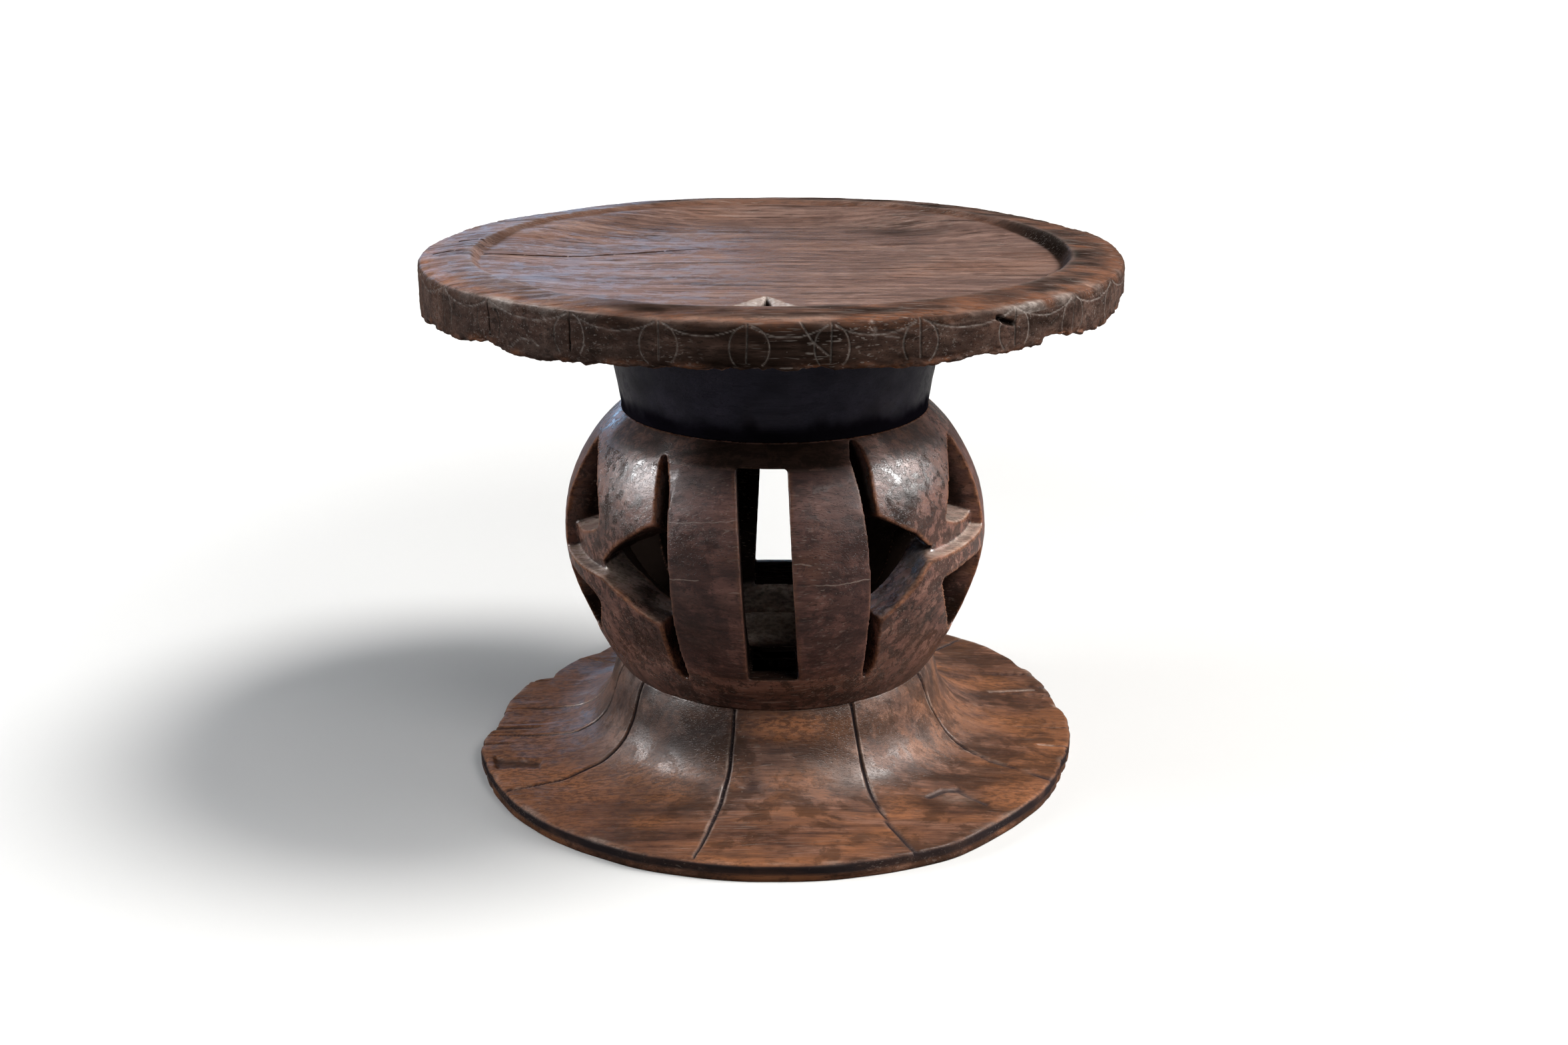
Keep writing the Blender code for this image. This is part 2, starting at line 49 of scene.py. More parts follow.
# Camera, lamps and the pale floor. Lengths in metres, angles in degrees, power in watts.
studio = {
    "lens": 39.52,  # mm, as is the sensor
    "sensor": 36.0,
    "farClip": 200.0,
    "cameraPlace": (0.0069, -1.2479, 0.5985),
    "cameraDip": 18.68,
    "floorSize": 80.0,
    "floorColour": (0.622, 0.622, 0.622),
    "floorGlow": (0.0, 0.50),  # near the stool and far off; keeps the far floor white for the eye
    "glowReach": (0.65, 1.70),
    "floorBounce": (0.13, 0.125, 0.12),  # what the floor throws back on the wood
    "glossShare": 0.06,  # how much of the white background the polished wood mirrors
    "skyColour": (0.97, 0.99, 1.0),
    "skyLight": 0.078,
    "keyLight": 3.7,
    "keyColour": (1.0, 0.985, 0.96),
    "keyTurn": (-1.0, 36.0, 0.0),  # from the right
    "keySoftness": 20.0,
    # place, width and height, power and colour of each soft box
    "boxes": {
        "rightBox": ((2.35, -0.10, 1.25), (1.15, 1.0), 36.0, (1.0, 0.99, 0.97)),
        "leftBox": ((-2.35, -0.15, 1.15), (1.15, 1.0), 42.0, (0.94, 0.97, 1.0)),
        "frontBox": ((1.25, -1.55, 1.85), (0.9, 0.9), 25.0, (1.0, 0.98, 0.95)),
    },
    "boxAim": (0.0, 0.0, 0.2),
    # the same, seen only as reflections: behind the dish, and tall ones left and right of the globe
    "sheens": {
        "dishSheen": ((-1.90, 5.0, 1.28), (3.5, 0.50), 46.0, (0.42, 0.66, 1.0)),
        "leftSheen": ((-1.66, -0.20, 1.44), (0.60, 0.85), 74.0, (1.0, 0.97, 0.97)),
        "rightSheen": ((1.70, -0.26, 1.42), (0.80, 0.85), 62.0, (1.0, 0.97, 0.96)),
    },
    "sheenAim": (0.0, 0.0, 0.3),
}


# Node helpers: a value is a number, a colour or another node's output
def plug(tree, socket, value):
    if hasattr(value, "is_output"):
        tree.links.new(value, socket)
    else:
        socket.default_value = value


def mathNode(tree, operation, a, b=0.0, clamp=False):
    node = tree.nodes.new("ShaderNodeMath")
    node.operation = operation
    node.use_clamp = clamp
    for socket, value in zip(node.inputs, (a, b)):
        plug(tree, socket, value)
    return node.outputs[0]


def rampNode(tree, value, low, high, bottom=0.0, top=1.0):
    node = tree.nodes.new("ShaderNodeMapRange")
    node.interpolation_type = "SMOOTHSTEP"
    for socket, amount in zip(node.inputs, (value, low, high, bottom, top)):
        plug(tree, socket, amount)
    return node.outputs[0]


def blendNode(tree, share, first, second):
    node = tree.nodes.new("ShaderNodeMix")
    node.data_type = "RGBA"
    plug(tree, node.inputs[0], share)
    for socket, colour in ((node.inputs[6], first), (node.inputs[7], second)):
        plug(tree, socket, (*colour, 1.0) if isinstance(colour, tuple) else colour)
    return node.outputs[2]


def addCamera():
    cameraData = bpy.data.cameras.new("photoCamera")
    cameraData.lens = studio["lens"]
    cameraData.sensor_width = studio["sensor"]
    cameraData.clip_end = studio["farClip"]
    camera = bpy.data.objects.new("photoCamera", cameraData)
    camera.location = studio["cameraPlace"]
    camera.rotation_euler = (math.radians(90.0 - studio["cameraDip"]), 0.0, 0.0)
    bpy.context.scene.collection.objects.link(camera)
    bpy.context.scene.camera = camera


def addSoftBox(name, place, size, power, colour, aim):
    lamp = bpy.data.lights.new(name, "AREA")
    lamp.shape = "RECTANGLE"
    lamp.size, lamp.size_y = size
    lamp.energy = power
    lamp.color = colour
    box = bpy.data.objects.new(name, lamp)
    box.location = place
    box.rotation_euler = (Vector(aim) - Vector(place)).to_track_quat("-Z", "Y").to_euler()
    box.visible_camera = False
    bpy.context.scene.collection.objects.link(box)
    return box


def addLamps():
    sun = bpy.data.lights.new("keyLamp", "SUN")
    sun.energy = studio["keyLight"]
    sun.color = studio["keyColour"]
    sun.angle = math.radians(studio["keySoftness"])
    key = bpy.data.objects.new("keyLamp", sun)
    key.rotation_euler = [math.radians(turn) for turn in studio["keyTurn"]]
    bpy.context.scene.collection.objects.link(key)
    for name, box in studio["boxes"].items():
        addSoftBox(name, *box, studio["boxAim"])
    for name, panel in studio["sheens"].items():
        addSoftBox(name, *panel, studio["sheenAim"]).visible_diffuse = False


def backgroundRay(tree):
    # 1 where the camera or glass looks, a share in reflections, 0 for the light that falls on the wood
    path = tree.nodes.new("ShaderNodeLightPath").outputs
    share = path["Is Camera Ray"]
    for ray, weight in (("Is Glossy Ray", studio["glossShare"]), ("Is Transmission Ray", 1.0)):
        share = mathNode(tree, "MAXIMUM", share, mathNode(tree, "MULTIPLY", path[ray], weight))
    return share


def addSky():
    world = bpy.data.worlds.new("studioSky")
    bpy.context.scene.world = world
    world.use_nodes = True
    tree = world.node_tree
    tree.nodes.clear()
    mix = tree.nodes.new("ShaderNodeMixShader")
    output = tree.nodes.new("ShaderNodeOutputWorld")
    plug(tree, mix.inputs["Fac"], backgroundRay(tree))
    shades = ((studio["skyColour"], studio["skyLight"]), ((1.0, 1.0, 1.0), 1.0))  # for the wood, for the eye
    for socket, (colour, strength) in zip(mix.inputs[1:3], shades):
        shade = tree.nodes.new("ShaderNodeBackground")
        shade.inputs["Color"].default_value = (*colour, 1.0)
        shade.inputs["Strength"].default_value = strength
        plug(tree, socket, shade.outputs[0])
    plug(tree, output.inputs["Surface"], mix.outputs[0])


def addFloor():
    half = studio["floorSize"] / 2
    mesh = bpy.data.meshes.new("studioFloor")
    corners = [(-half, -half, 0), (half, -half, 0), (half, half, 0), (-half, half, 0)]
    mesh.from_pydata(corners, [], [(0, 1, 2, 3)])
    floor = bpy.data.objects.new("studioFloor", mesh)
    bpy.context.scene.collection.objects.link(floor)
    paint = bpy.data.materials.new("floorPaint")
    paint.use_nodes = True
    tree = paint.node_tree
    shader = tree.nodes["Principled BSDF"].inputs
    seen = backgroundRay(tree)
    away = tree.nodes.new("ShaderNodeVectorMath")
    away.operation = "LENGTH"
    plug(tree, away.inputs[0], tree.nodes.new("ShaderNodeTexCoord").outputs["Object"])
    rise = rampNode(tree, away.outputs["Value"], *studio["glowReach"], *studio["floorGlow"])
    plug(tree, shader["Base Color"], blendNode(tree, seen, studio["floorBounce"], studio["floorColour"]))
    plug(tree, shader["Roughness"], 1.0)
    plug(tree, shader["Specular IOR Level"], 0.0)
    plug(tree, shader["Emission Color"], (1.0, 1.0, 1.0, 1.0))
    plug(tree, shader["Emission Strength"], mathNode(tree, "MULTIPLY", seen, rise))
    mesh.materials.append(paint)


addCamera()
addLamps()
addSky()
addFloor()
bpy.context.scene.view_settings.view_transform = "Standard"
print("studio ready")


# Shaping helpers: smooth steps, seeded noise, line distances, mesh arrays
def smoothStep(low, high, value):
    t = np.clip((value - low) / (high - low), 0.0, 1.0)
    return t * t * (3.0 - 2.0 * t)


def bell(value, middle, wide):
    # 1 at the middle, fading on both sides
    return np.exp(-(((value - middle) / wide) ** 2))


def hump(value, places):
    # rises between the first two places and falls between the last two
    return smoothStep(*places[:2], value) * (1.0 - smoothStep(*places[2:], value))


def inRange(value, limits):
    return (value > limits[0]) & (value < limits[1])


def noisy(base, share, noise, low, high):
    # an amount that follows a noise, kept between two limits
    return np.clip(base + share * noise, low, high)


def latticeValue(cells, seed):
    # an even random number from 0 to 1 for each cell, by whole numbers that wrap at 32 bits
    n = np.uint32(seed * 3266489917 & 0xFFFFFFFF)
    for cell, factor in zip(cells, (374761393, 668265263, 2246822519)):
        n = n + cell * np.uint32(factor)
    n = (n ^ (n >> np.uint32(15))) * np.uint32(2654435761)
    n = (n ^ (n >> np.uint32(13))) * np.uint32(1274126177)
    n = n ^ (n >> np.uint32(16))
    return (n & np.uint32(0xFFFFFF)).astype(np.float64) / 0xFFFFFF


def softNoise(points, cell, seed):
    # smooth value noise from -1 to 1; cell is one length or a length for each axis
    scaled = points / np.asarray(cell, float)
    base = np.floor(scaled)
    part = scaled - base
    part = part * part * (3.0 - 2.0 * part)
    corner = [base[:, k].astype(np.int64).astype(np.uint32) for k in range(3)]
    total = np.zeros(len(points))
    for offset in product((0, 1), repeat=3):
        weight = 1.0
        for k, step in enumerate(offset):
            weight = weight * np.abs(1 - step - part[:, k])
        total += weight * latticeValue([at + np.uint32(step) for at, step in zip(corner, offset)], seed)
    return total * 2.0 - 1.0


def layeredNoise(points, cell, seed, layers=3):
    total = np.zeros(len(points))
    for k in range(layers):
        total += softNoise(points, np.asarray(cell, float) / 2.0**k, seed + k) / 2.0**k
    return total


def lineDistance(u, v, path):
    # distance of points (u, v) from a polyline
    nearest = np.full(len(u), 1e9)
    for (u0, v0), (u1, v1) in zip(path[:-1], path[1:]):
        du, dv = u1 - u0, v1 - v0
        t = np.clip(((u - u0) * du + (v - v0) * dv) / max(du * du + dv * dv, 1e-12), 0.0, 1.0)
        nearest = np.minimum(nearest, np.hypot(u - u0 - t * du, v - v0 - t * dv))
    return nearest


def between(value, table):
    # straight-line reading of a short table of (place, amount) pairs
    places, amounts = zip(*table)
    return np.interp(value, places, amounts)


def meshFromArrays(name, points, faceGroups):
    mesh = bpy.data.meshes.new(name)
    sizes = np.concatenate([np.full(len(faces), faces.shape[1]) for faces in faceGroups])
    corners = np.concatenate([faces.ravel() for faces in faceGroups])
    mesh.vertices.add(len(points))
    mesh.vertices.foreach_set("co", np.ascontiguousarray(points, np.float32).ravel())
    mesh.loops.add(len(corners))
    mesh.loops.foreach_set("vertex_index", corners.astype(np.int32))
    mesh.polygons.add(len(sizes))
    mesh.polygons.foreach_set("loop_start", (np.cumsum(sizes) - sizes).astype(np.int32))
    mesh.update(calc_edges=True)
    mesh.validate()
    mesh.shade_smooth()
    return mesh


def readPoints(mesh):
    flat = np.empty(len(mesh.vertices) * 3, np.float32)
    mesh.vertices.foreach_get("co", flat)
    return flat.reshape(-1, 3).astype(np.float64)


def writePoints(mesh, points):
    mesh.vertices.foreach_set("co", np.ascontiguousarray(points, np.float32).ravel())
    mesh.update()


def readNormals(mesh):
    flat = np.empty(len(mesh.vertices) * 3, np.float32)
    mesh.vertex_normals.foreach_get("vector", flat)
    return flat.reshape(-1, 3).astype(np.float64)


def edgePairs(mesh):
    flat = np.empty(len(mesh.edges) * 2, np.int32)
    mesh.edges.foreach_get("vertices", flat)
    return flat.reshape(-1, 2)


def neighbourMean(values, pairs):
    count = len(values)
    ends = np.concatenate([pairs[:, 0], pairs[:, 1]])
    others = np.concatenate([pairs[:, 1], pairs[:, 0]])
    degree = np.maximum(np.bincount(ends, minlength=count), 1)
    if values.ndim == 1:
        return np.bincount(ends, values[others], count) / degree
    columns = [np.bincount(ends, column[others], count) / degree for column in values.T]
    return np.stack(columns, 1)


def edgeBend(mesh, spread):
    # how sharply the surface turns, in metres: above 0 on outer edges, below 0 in inner corners
    points, pairs = readPoints(mesh), edgePairs(mesh)
    bend = -np.sum((neighbourMean(points, pairs) - points) * readNormals(mesh), 1)
    for _ in range(spread):
        bend = neighbourMean(bend, pairs)
    return bend


def paintPoints(mesh, **amounts):
    for name, values in amounts.items():
        layer = mesh.attributes.new(name, "FLOAT", "POINT")
        layer.data.foreach_set("value", np.clip(values, 0.0, 1.0).astype(np.float32))


def ringFaces(startA, countA, startB, countB):
    # faces between two rings of a turned form, seen from outside
    j = np.arange(min(n for n in (countA, countB) if n > 1))
    k = (j + 1) % len(j)
    if countA == countB:
        return [np.stack([startA + j, startB + j, startB + k, startA + k], 1)]
    if countA == 1:
        return [np.stack([np.full(len(j), startA), startB + j, startB + k], 1)]
    if countB == 1:
        return [np.stack([startA + j, np.full(len(j), startB), startA + k], 1)]
    if countB > countA:
        first, middle, last = startB + 2 * j, startB + 2 * j + 1, startB + 2 * k
        near, far = startA + j, startA + k
        fans = ((near, first, middle), (near, middle, far), (far, middle, last))
    else:
        first, middle, last = startA + 2 * j, startA + 2 * j + 1, startA + 2 * k
        near, far = startB + j, startB + k
        fans = ((first, near, middle), (middle, near, far), (middle, far, last))
    return [np.stack(fan, 1) for fan in fans]


def spinRows(rows, turns):
    # rows of (radius, height, stride), from the middle of the top, over the edge, to the middle below
    angle, radius, height, faceGroups = [], [], [], []
    start, last = 0, None
    for r, z, stride in rows:
        ring = turns[::stride] if r > 0 else turns[:1]
        angle.append(ring)
        radius.append(np.full(len(ring), r))
        height.append(np.full(len(ring), z))
        if last is not None:
            faceGroups += ringFaces(*last, start, len(ring))
        last = (start, len(ring))
        start += len(ring)
    return np.concatenate(angle), np.concatenate(radius), np.concatenate(height), faceGroups


def crowdedTurns(spots, fine, coarse, multiple):
    # angles round the axis, closer together at the spots (angle, half width), in degrees
    turns, at = [], -180.0
    while at < 180.0:
        turns.append(at)
        near = min(abs((at - spot + 180.0) % 360.0 - 180.0) - half for spot, half in spots)
        at += fine if near < 0 else min(coarse, fine + near * 0.25)  # widens slowly beside a spot
    turns = np.array(turns)
    wanted = max(multiple, round(len(turns) / multiple) * multiple)
    places = np.linspace(0, len(turns), wanted, endpoint=False)
    return np.radians(np.interp(places, np.arange(len(turns) + 1), np.append(turns, 180.0)))


def evenTurns(count):
    return np.radians(np.linspace(-180.0, 180.0, count, endpoint=False))


def onAxis(angle, radius, height):
    return np.stack([radius * np.sin(angle), -radius * np.cos(angle), height], 1)


def addPiece(name, mesh, material, node):
    piece = bpy.data.objects.new(name, mesh)
    bpy.context.scene.collection.objects.link(piece)
    mesh.materials.clear()
    mesh.materials.append(material)
    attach(piece, "root")
    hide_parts(node)
    return piece


# Wood finish, shared by all pieces: fibre along X, mottled patina, pores, scuffs and worn edges.
# Scales are per metre along X, Y and Z; an edge is where a noise fades in, from and to.
grain = {
    "broad": (5.0, 0.42),  # along the fibre, and across it as a share of the look's fibre
    "fine": (17.0, 2.0),
    "pores": (60.0, 1500.0, 1500.0),
    "poreEdge": (0.58, 0.68),
    "patch": (7.0, 15.0, 15.0),
    "midEdge": (0.40, 0.51),
    "lightEdge": (0.50, 0.60),
    "warmEdge": (0.52, 0.64),
    "stainEdge": (0.46, 0.34),
    "streaks": (((9.0, 120.0, 120.0), 0.59), ((20.0, 300.0, 300.0), 0.60)),
    "streakTurn": (0.0, 0.0, 1.5),
    "streakEdge": 0.06,
    "flecks": (0.8, 1.0, 0.7),  # shares of the look's flecks
    "cover": (0.16, 0.16, 0.16),
    "coverTurn": (12.0, 0.0, 33.0),
    "smokeEdge": (0.475, 0.535),
    "breaks": (170.0, 420.0, 420.0),  # breaks up what is painted on the mesh
    "breakEdge": (0.42, 0.58),
    "scuffs": (
        ((38.0, 1000.0, 500.0), (0.0, 0.0, 34.0), 0.67),
        ((48.0, 1100.0, 700.0), (20.0, 50.0, -28.0), 0.68),
        ((42.0, 900.0, 800.0), (70.0, 20.0, 80.0), 0.68),
    ),
    "scuffEdge": 0.05,
    "specks": (380.0, 380.0, 380.0),
    "speckTurn": (31.0, 17.0, 9.0),
    "speckEdge": (0.745, 0.785),
    "rubbed": (11.0, 11.0, 11.0),  # where scuffs gather
    "rubbedTurn": (5.0, 40.0, 12.0),
    "rubbedEdge": (0.44, 0.62),
    "checkEdge": (0.35, 0.55, 0.05, 0.4),
    "seamShare": 0.95,
    "polishEdge": (0.20, 0.48),
    "grimeAndShadeRough": 0.9,
    "bumpHigh": 0.001,
}
# Fine checks: on the front of the globe by x and height, on top of the seat by x and depth
hairlines = {
    "wander": 0.004,
    "wanderScale": (90.0, 90.0, 90.0),
    "core": 0.3,  # share of the width that is solid
    "front": {"wide": 0.0005, "fade": 0.003, "face": (-0.05, -0.07)},
    "top": {"wide": 0.0040, "fade": 0.001, "face": (0.374, 0.376)},
}


class WoodNodes:
    def __init__(self, name):
        self.material = bpy.data.materials.new(name)
        self.material.use_nodes = True
        self.tree = self.material.node_tree
        self.place = self.tree.nodes.new("ShaderNodeTexCoord").outputs["Object"]

    def set(self, name, value):
        plug(self.tree, self.tree.nodes["Principled BSDF"].inputs[name], value)

    def plus(self, a, b):
        return mathNode(self.tree, "ADD", a, b)

    def minus(self, a, b):
        return mathNode(self.tree, "SUBTRACT", a, b)

    def times(self, a, b, clamp=False):
        return mathNode(self.tree, "MULTIPLY", a, b, clamp)

    def most(self, a, b):
        return mathNode(self.tree, "MAXIMUM", a, b)

    def mixed(self, a, shareA, b, shareB):
        return self.plus(self.times(a, shareA), self.times(b, shareB))

    def ramp(self, *values):
        return rampNode(self.tree, *values)

    def blend(self, share, first, second):
        return blendNode(self.tree, share, first, second)

    def noise(self, scale, detail, rough, turn=(0.0, 0.0, 0.0), wave=0.0):
        mapping = self.tree.nodes.new("ShaderNodeMapping")
        mapping.inputs["Scale"].default_value = scale
        mapping.inputs["Rotation"].default_value = [math.radians(a) for a in turn]
        plug(self.tree, mapping.inputs["Vector"], self.place)
        node = self.tree.nodes.new("ShaderNodeTexNoise")
        node.inputs["Scale"].default_value = 1.0
        node.inputs["Detail"].default_value = detail
        node.inputs["Roughness"].default_value = rough
        node.inputs["Distortion"].default_value = wave
        plug(self.tree, node.inputs["Vector"], mapping.outputs[0])
        return node.outputs[0]

    def hairline(self, x0, x1, v0, v1, tail=0.0):
        # a fine check from (x0, v0) to (x1, v1); one that lies on top has a tail to run out in
        flat = tail > 0
        kind = hairlines["top" if flat else "front"]
        axes = self.tree.nodes.new("ShaderNodeSeparateXYZ")
        plug(self.tree, axes.inputs[0], self.place)
        x, y, z = axes.outputs
        across, face = (y, z) if flat else (z, y)
        slope = (v1 - v0) / (x1 - x0)
        wander = self.minus(self.noise(hairlines["wanderScale"], 2.0, 0.5), 0.5)
        level = self.plus(self.times(x, slope), v0 - slope * x0)
        level = self.plus(level, self.times(wander, hairlines["wander"]))
        off = mathNode(self.tree, "ABSOLUTE", self.minus(across, level))
        line = self.ramp(off, kind["wide"] * hairlines["core"], kind["wide"], 1.0, 0.0)
        starts, ends = (x, x0, x0 + kind["fade"]), (x, x1, x1 - max(kind["fade"], tail))
        for value, low, high in (starts, ends, (face, *kind["face"])):
            line = self.times(line, self.ramp(value, low, high))
        return line

    def painted(self, name):
        node = self.tree.nodes.new("ShaderNodeAttribute")
        node.attribute_name = name
        return node.outputs["Fac"]


def woodFinish(name, look):
    wood = WoodNodes(name)
    (broadLong, broadShare), (fineLong, fineShare) = grain["broad"], grain["fine"]
    broadAcross, fineAcross = look["fibre"] * broadShare, look["fibre"] * fineShare
    broad = wood.noise((broadLong, broadAcross, broadAcross), 3.0, 0.6, wave=0.2)
    fine = wood.noise((fineLong, fineAcross, fineAcross), 3.0, 0.6)
    fibre = wood.mixed(broad, 0.55, fine, 0.45)
    pores = wood.ramp(wood.noise(grain["pores"], 1.0, 0.5), *grain["poreEdge"])
    mottle = wood.noise((look["mottle"] * 0.6, look["mottle"], look["mottle"]), 6.0, 0.68)
    patch = wood.noise(grain["patch"], 4.0, 0.6, wave=0.4)
    tone = wood.mixed(fibre, look["fibreShare"], mottle, 1.0 - look["fibreShare"])
    colour = wood.blend(wood.ramp(tone, *grain["midEdge"]), look["deep"], look["mid"])
    for part, value in (("light", tone), ("warm", patch), ("stain", patch)):
        share = wood.ramp(value, *grain[part + "Edge"], 0.0, look[part + "Share"])
        colour = wood.blend(share, colour, look[part])
    colour = wood.blend(wood.times(pores, look["poreShare"]), colour, look["pore"])
    # thin dark streaks along the fibre
    streaks = 0.0
    for scale, bar in grain["streaks"]:
        lines = wood.noise(scale, 2.0, 0.6, grain["streakTurn"])
        streaks = wood.most(streaks, wood.ramp(lines, bar, bar + grain["streakEdge"]))
    streaks = wood.times(streaks, look["streakShare"])
    colour = wood.blend(streaks, colour, look["pore"])
    # dark patina, broken into flecks
    flecks = wood.noise([look["flecks"] * share for share in grain["flecks"]], 9.0, 0.72, wave=0.3)
    cover = wood.noise([look["flecks"] * share for share in grain["cover"]], 3.0, 0.6, grain["coverTurn"])
    smoke = wood.ramp(wood.mixed(flecks, 0.72, cover, 0.28), *grain["smokeEdge"])
    colour = wood.blend(wood.times(smoke, look["smokeShare"]), colour, look["smoke"])
    # painted on the mesh: raw red-brown breaks, grime and painted shade in corners and hollows, pale worn
    # edges and cuts with some painted light and glints
    pale, dark, warm, dull = (wood.painted(layer) for layer in ("pale", "dark", "warm", "dull"))
    breaks = wood.ramp(wood.noise(grain["breaks"], 3.0, 0.7), *grain["breakEdge"])
    raw = wood.times(warm, wood.plus(wood.times(breaks, 0.7), 0.3), True)
    colour = wood.blend(raw, colour, look["raw"])
    colour = wood.blend(dark, colour, look["grimeAndShade"])
    scuffs = 0.0
    for scale, turn, bar in grain["scuffs"]:
        lines = wood.noise(scale, 1.0, 0.4, turn)
        scuffs = wood.most(scuffs, wood.ramp(lines, bar, bar + grain["scuffEdge"]))
    specks = wood.ramp(wood.noise(grain["specks"], 1.0, 0.4, grain["speckTurn"]), *grain["speckEdge"])
    rubbed = wood.ramp(wood.noise(grain["rubbed"], 3.0, 0.6, grain["rubbedTurn"]), *grain["rubbedEdge"])
    marks = wood.times(wood.most(scuffs, specks), wood.times(rubbed, look["scuffShare"]))
    worn = wood.most(marks, wood.times(pale, wood.plus(wood.times(breaks, 0.5), 0.5), True))
    for check in look["checks"]:
        faint = wood.ramp(flecks, *grain["checkEdge"])
        worn = wood.most(worn, wood.times(wood.hairline(*check), faint))
    colour = wood.blend(worn, colour, look["pale"])
    matt = wood.most(wood.most(dark, dull), streaks)
    for seam in look["seams"]:
        line = wood.times(wood.hairline(*seam), grain["seamShare"])
        colour = wood.blend(line, colour, look["seam"])
        matt = wood.most(matt, line)
    low, high = look["roughness"]
    polish = wood.ramp(wood.mixed(mottle, 0.5, smoke, 0.25), *grain["polishEdge"], high, low)
    relief = wood.mixed(fibre, look["fibreRelief"], mottle, 0.5)
    relief = wood.minus(wood.minus(relief, wood.times(pores, 0.35)), wood.times(marks, 0.4))
    bump = wood.tree.nodes.new("ShaderNodeBump")
    bump.inputs["Strength"].default_value = look["relief"]
    bump.inputs["Distance"].default_value = grain["bumpHigh"]
    plug(wood.tree, bump.inputs["Height"], wood.plus(relief, wood.times(smoke, look["fleckRelief"])))
    wood.set("Base Color", colour)
    wood.set("Roughness", wood.most(polish, wood.times(dark, grain["grimeAndShadeRough"])))
    wood.set("Specular IOR Level", wood.ramp(matt, 0.0, 1.0, look["gloss"], 0.0))
    wood.set("Specular Tint", (*look["tint"], 1.0))
    wood.set("Normal", bump.outputs[0])
    return wood.material


baseLook = {
    "fibre": 230.0,
    "fibreShare": 0.6,
    "mottle": 48.0,
    "deep": (0.050, 0.024, 0.016),
    "mid": (0.125, 0.062, 0.042),
    "light": (0.240, 0.145, 0.108),
    "lightShare": 0.8,
    "warm": (0.190, 0.080, 0.040),
    "warmShare": 0.5,
    "stain": (0.036, 0.020, 0.015),
    "stainShare": 0.6,
    "pore": (0.028, 0.015, 0.011),
    "poreShare": 0.7,
    "raw": (0.260, 0.095, 0.040),
    "grimeAndShade": (0.014, 0.009, 0.007),
    "pale": (0.50, 0.40, 0.34),
    "scuffShare": 0.6,
    "roughness": (0.34, 0.56),
    "gloss": 0.40,
    "fibreRelief": 0.8,
    "relief": 0.35,
    "flecks": 110.0,
    "smoke": (0.020, 0.012, 0.010),
    "smokeShare": 0.35,
    "fleckRelief": 0.12,
    "checks": (),
    "streakShare": 0.25,
    "seams": (),
    "seam": (0.024, 0.010, 0.006),
    "tint": (1.0, 1.0, 1.0),
}

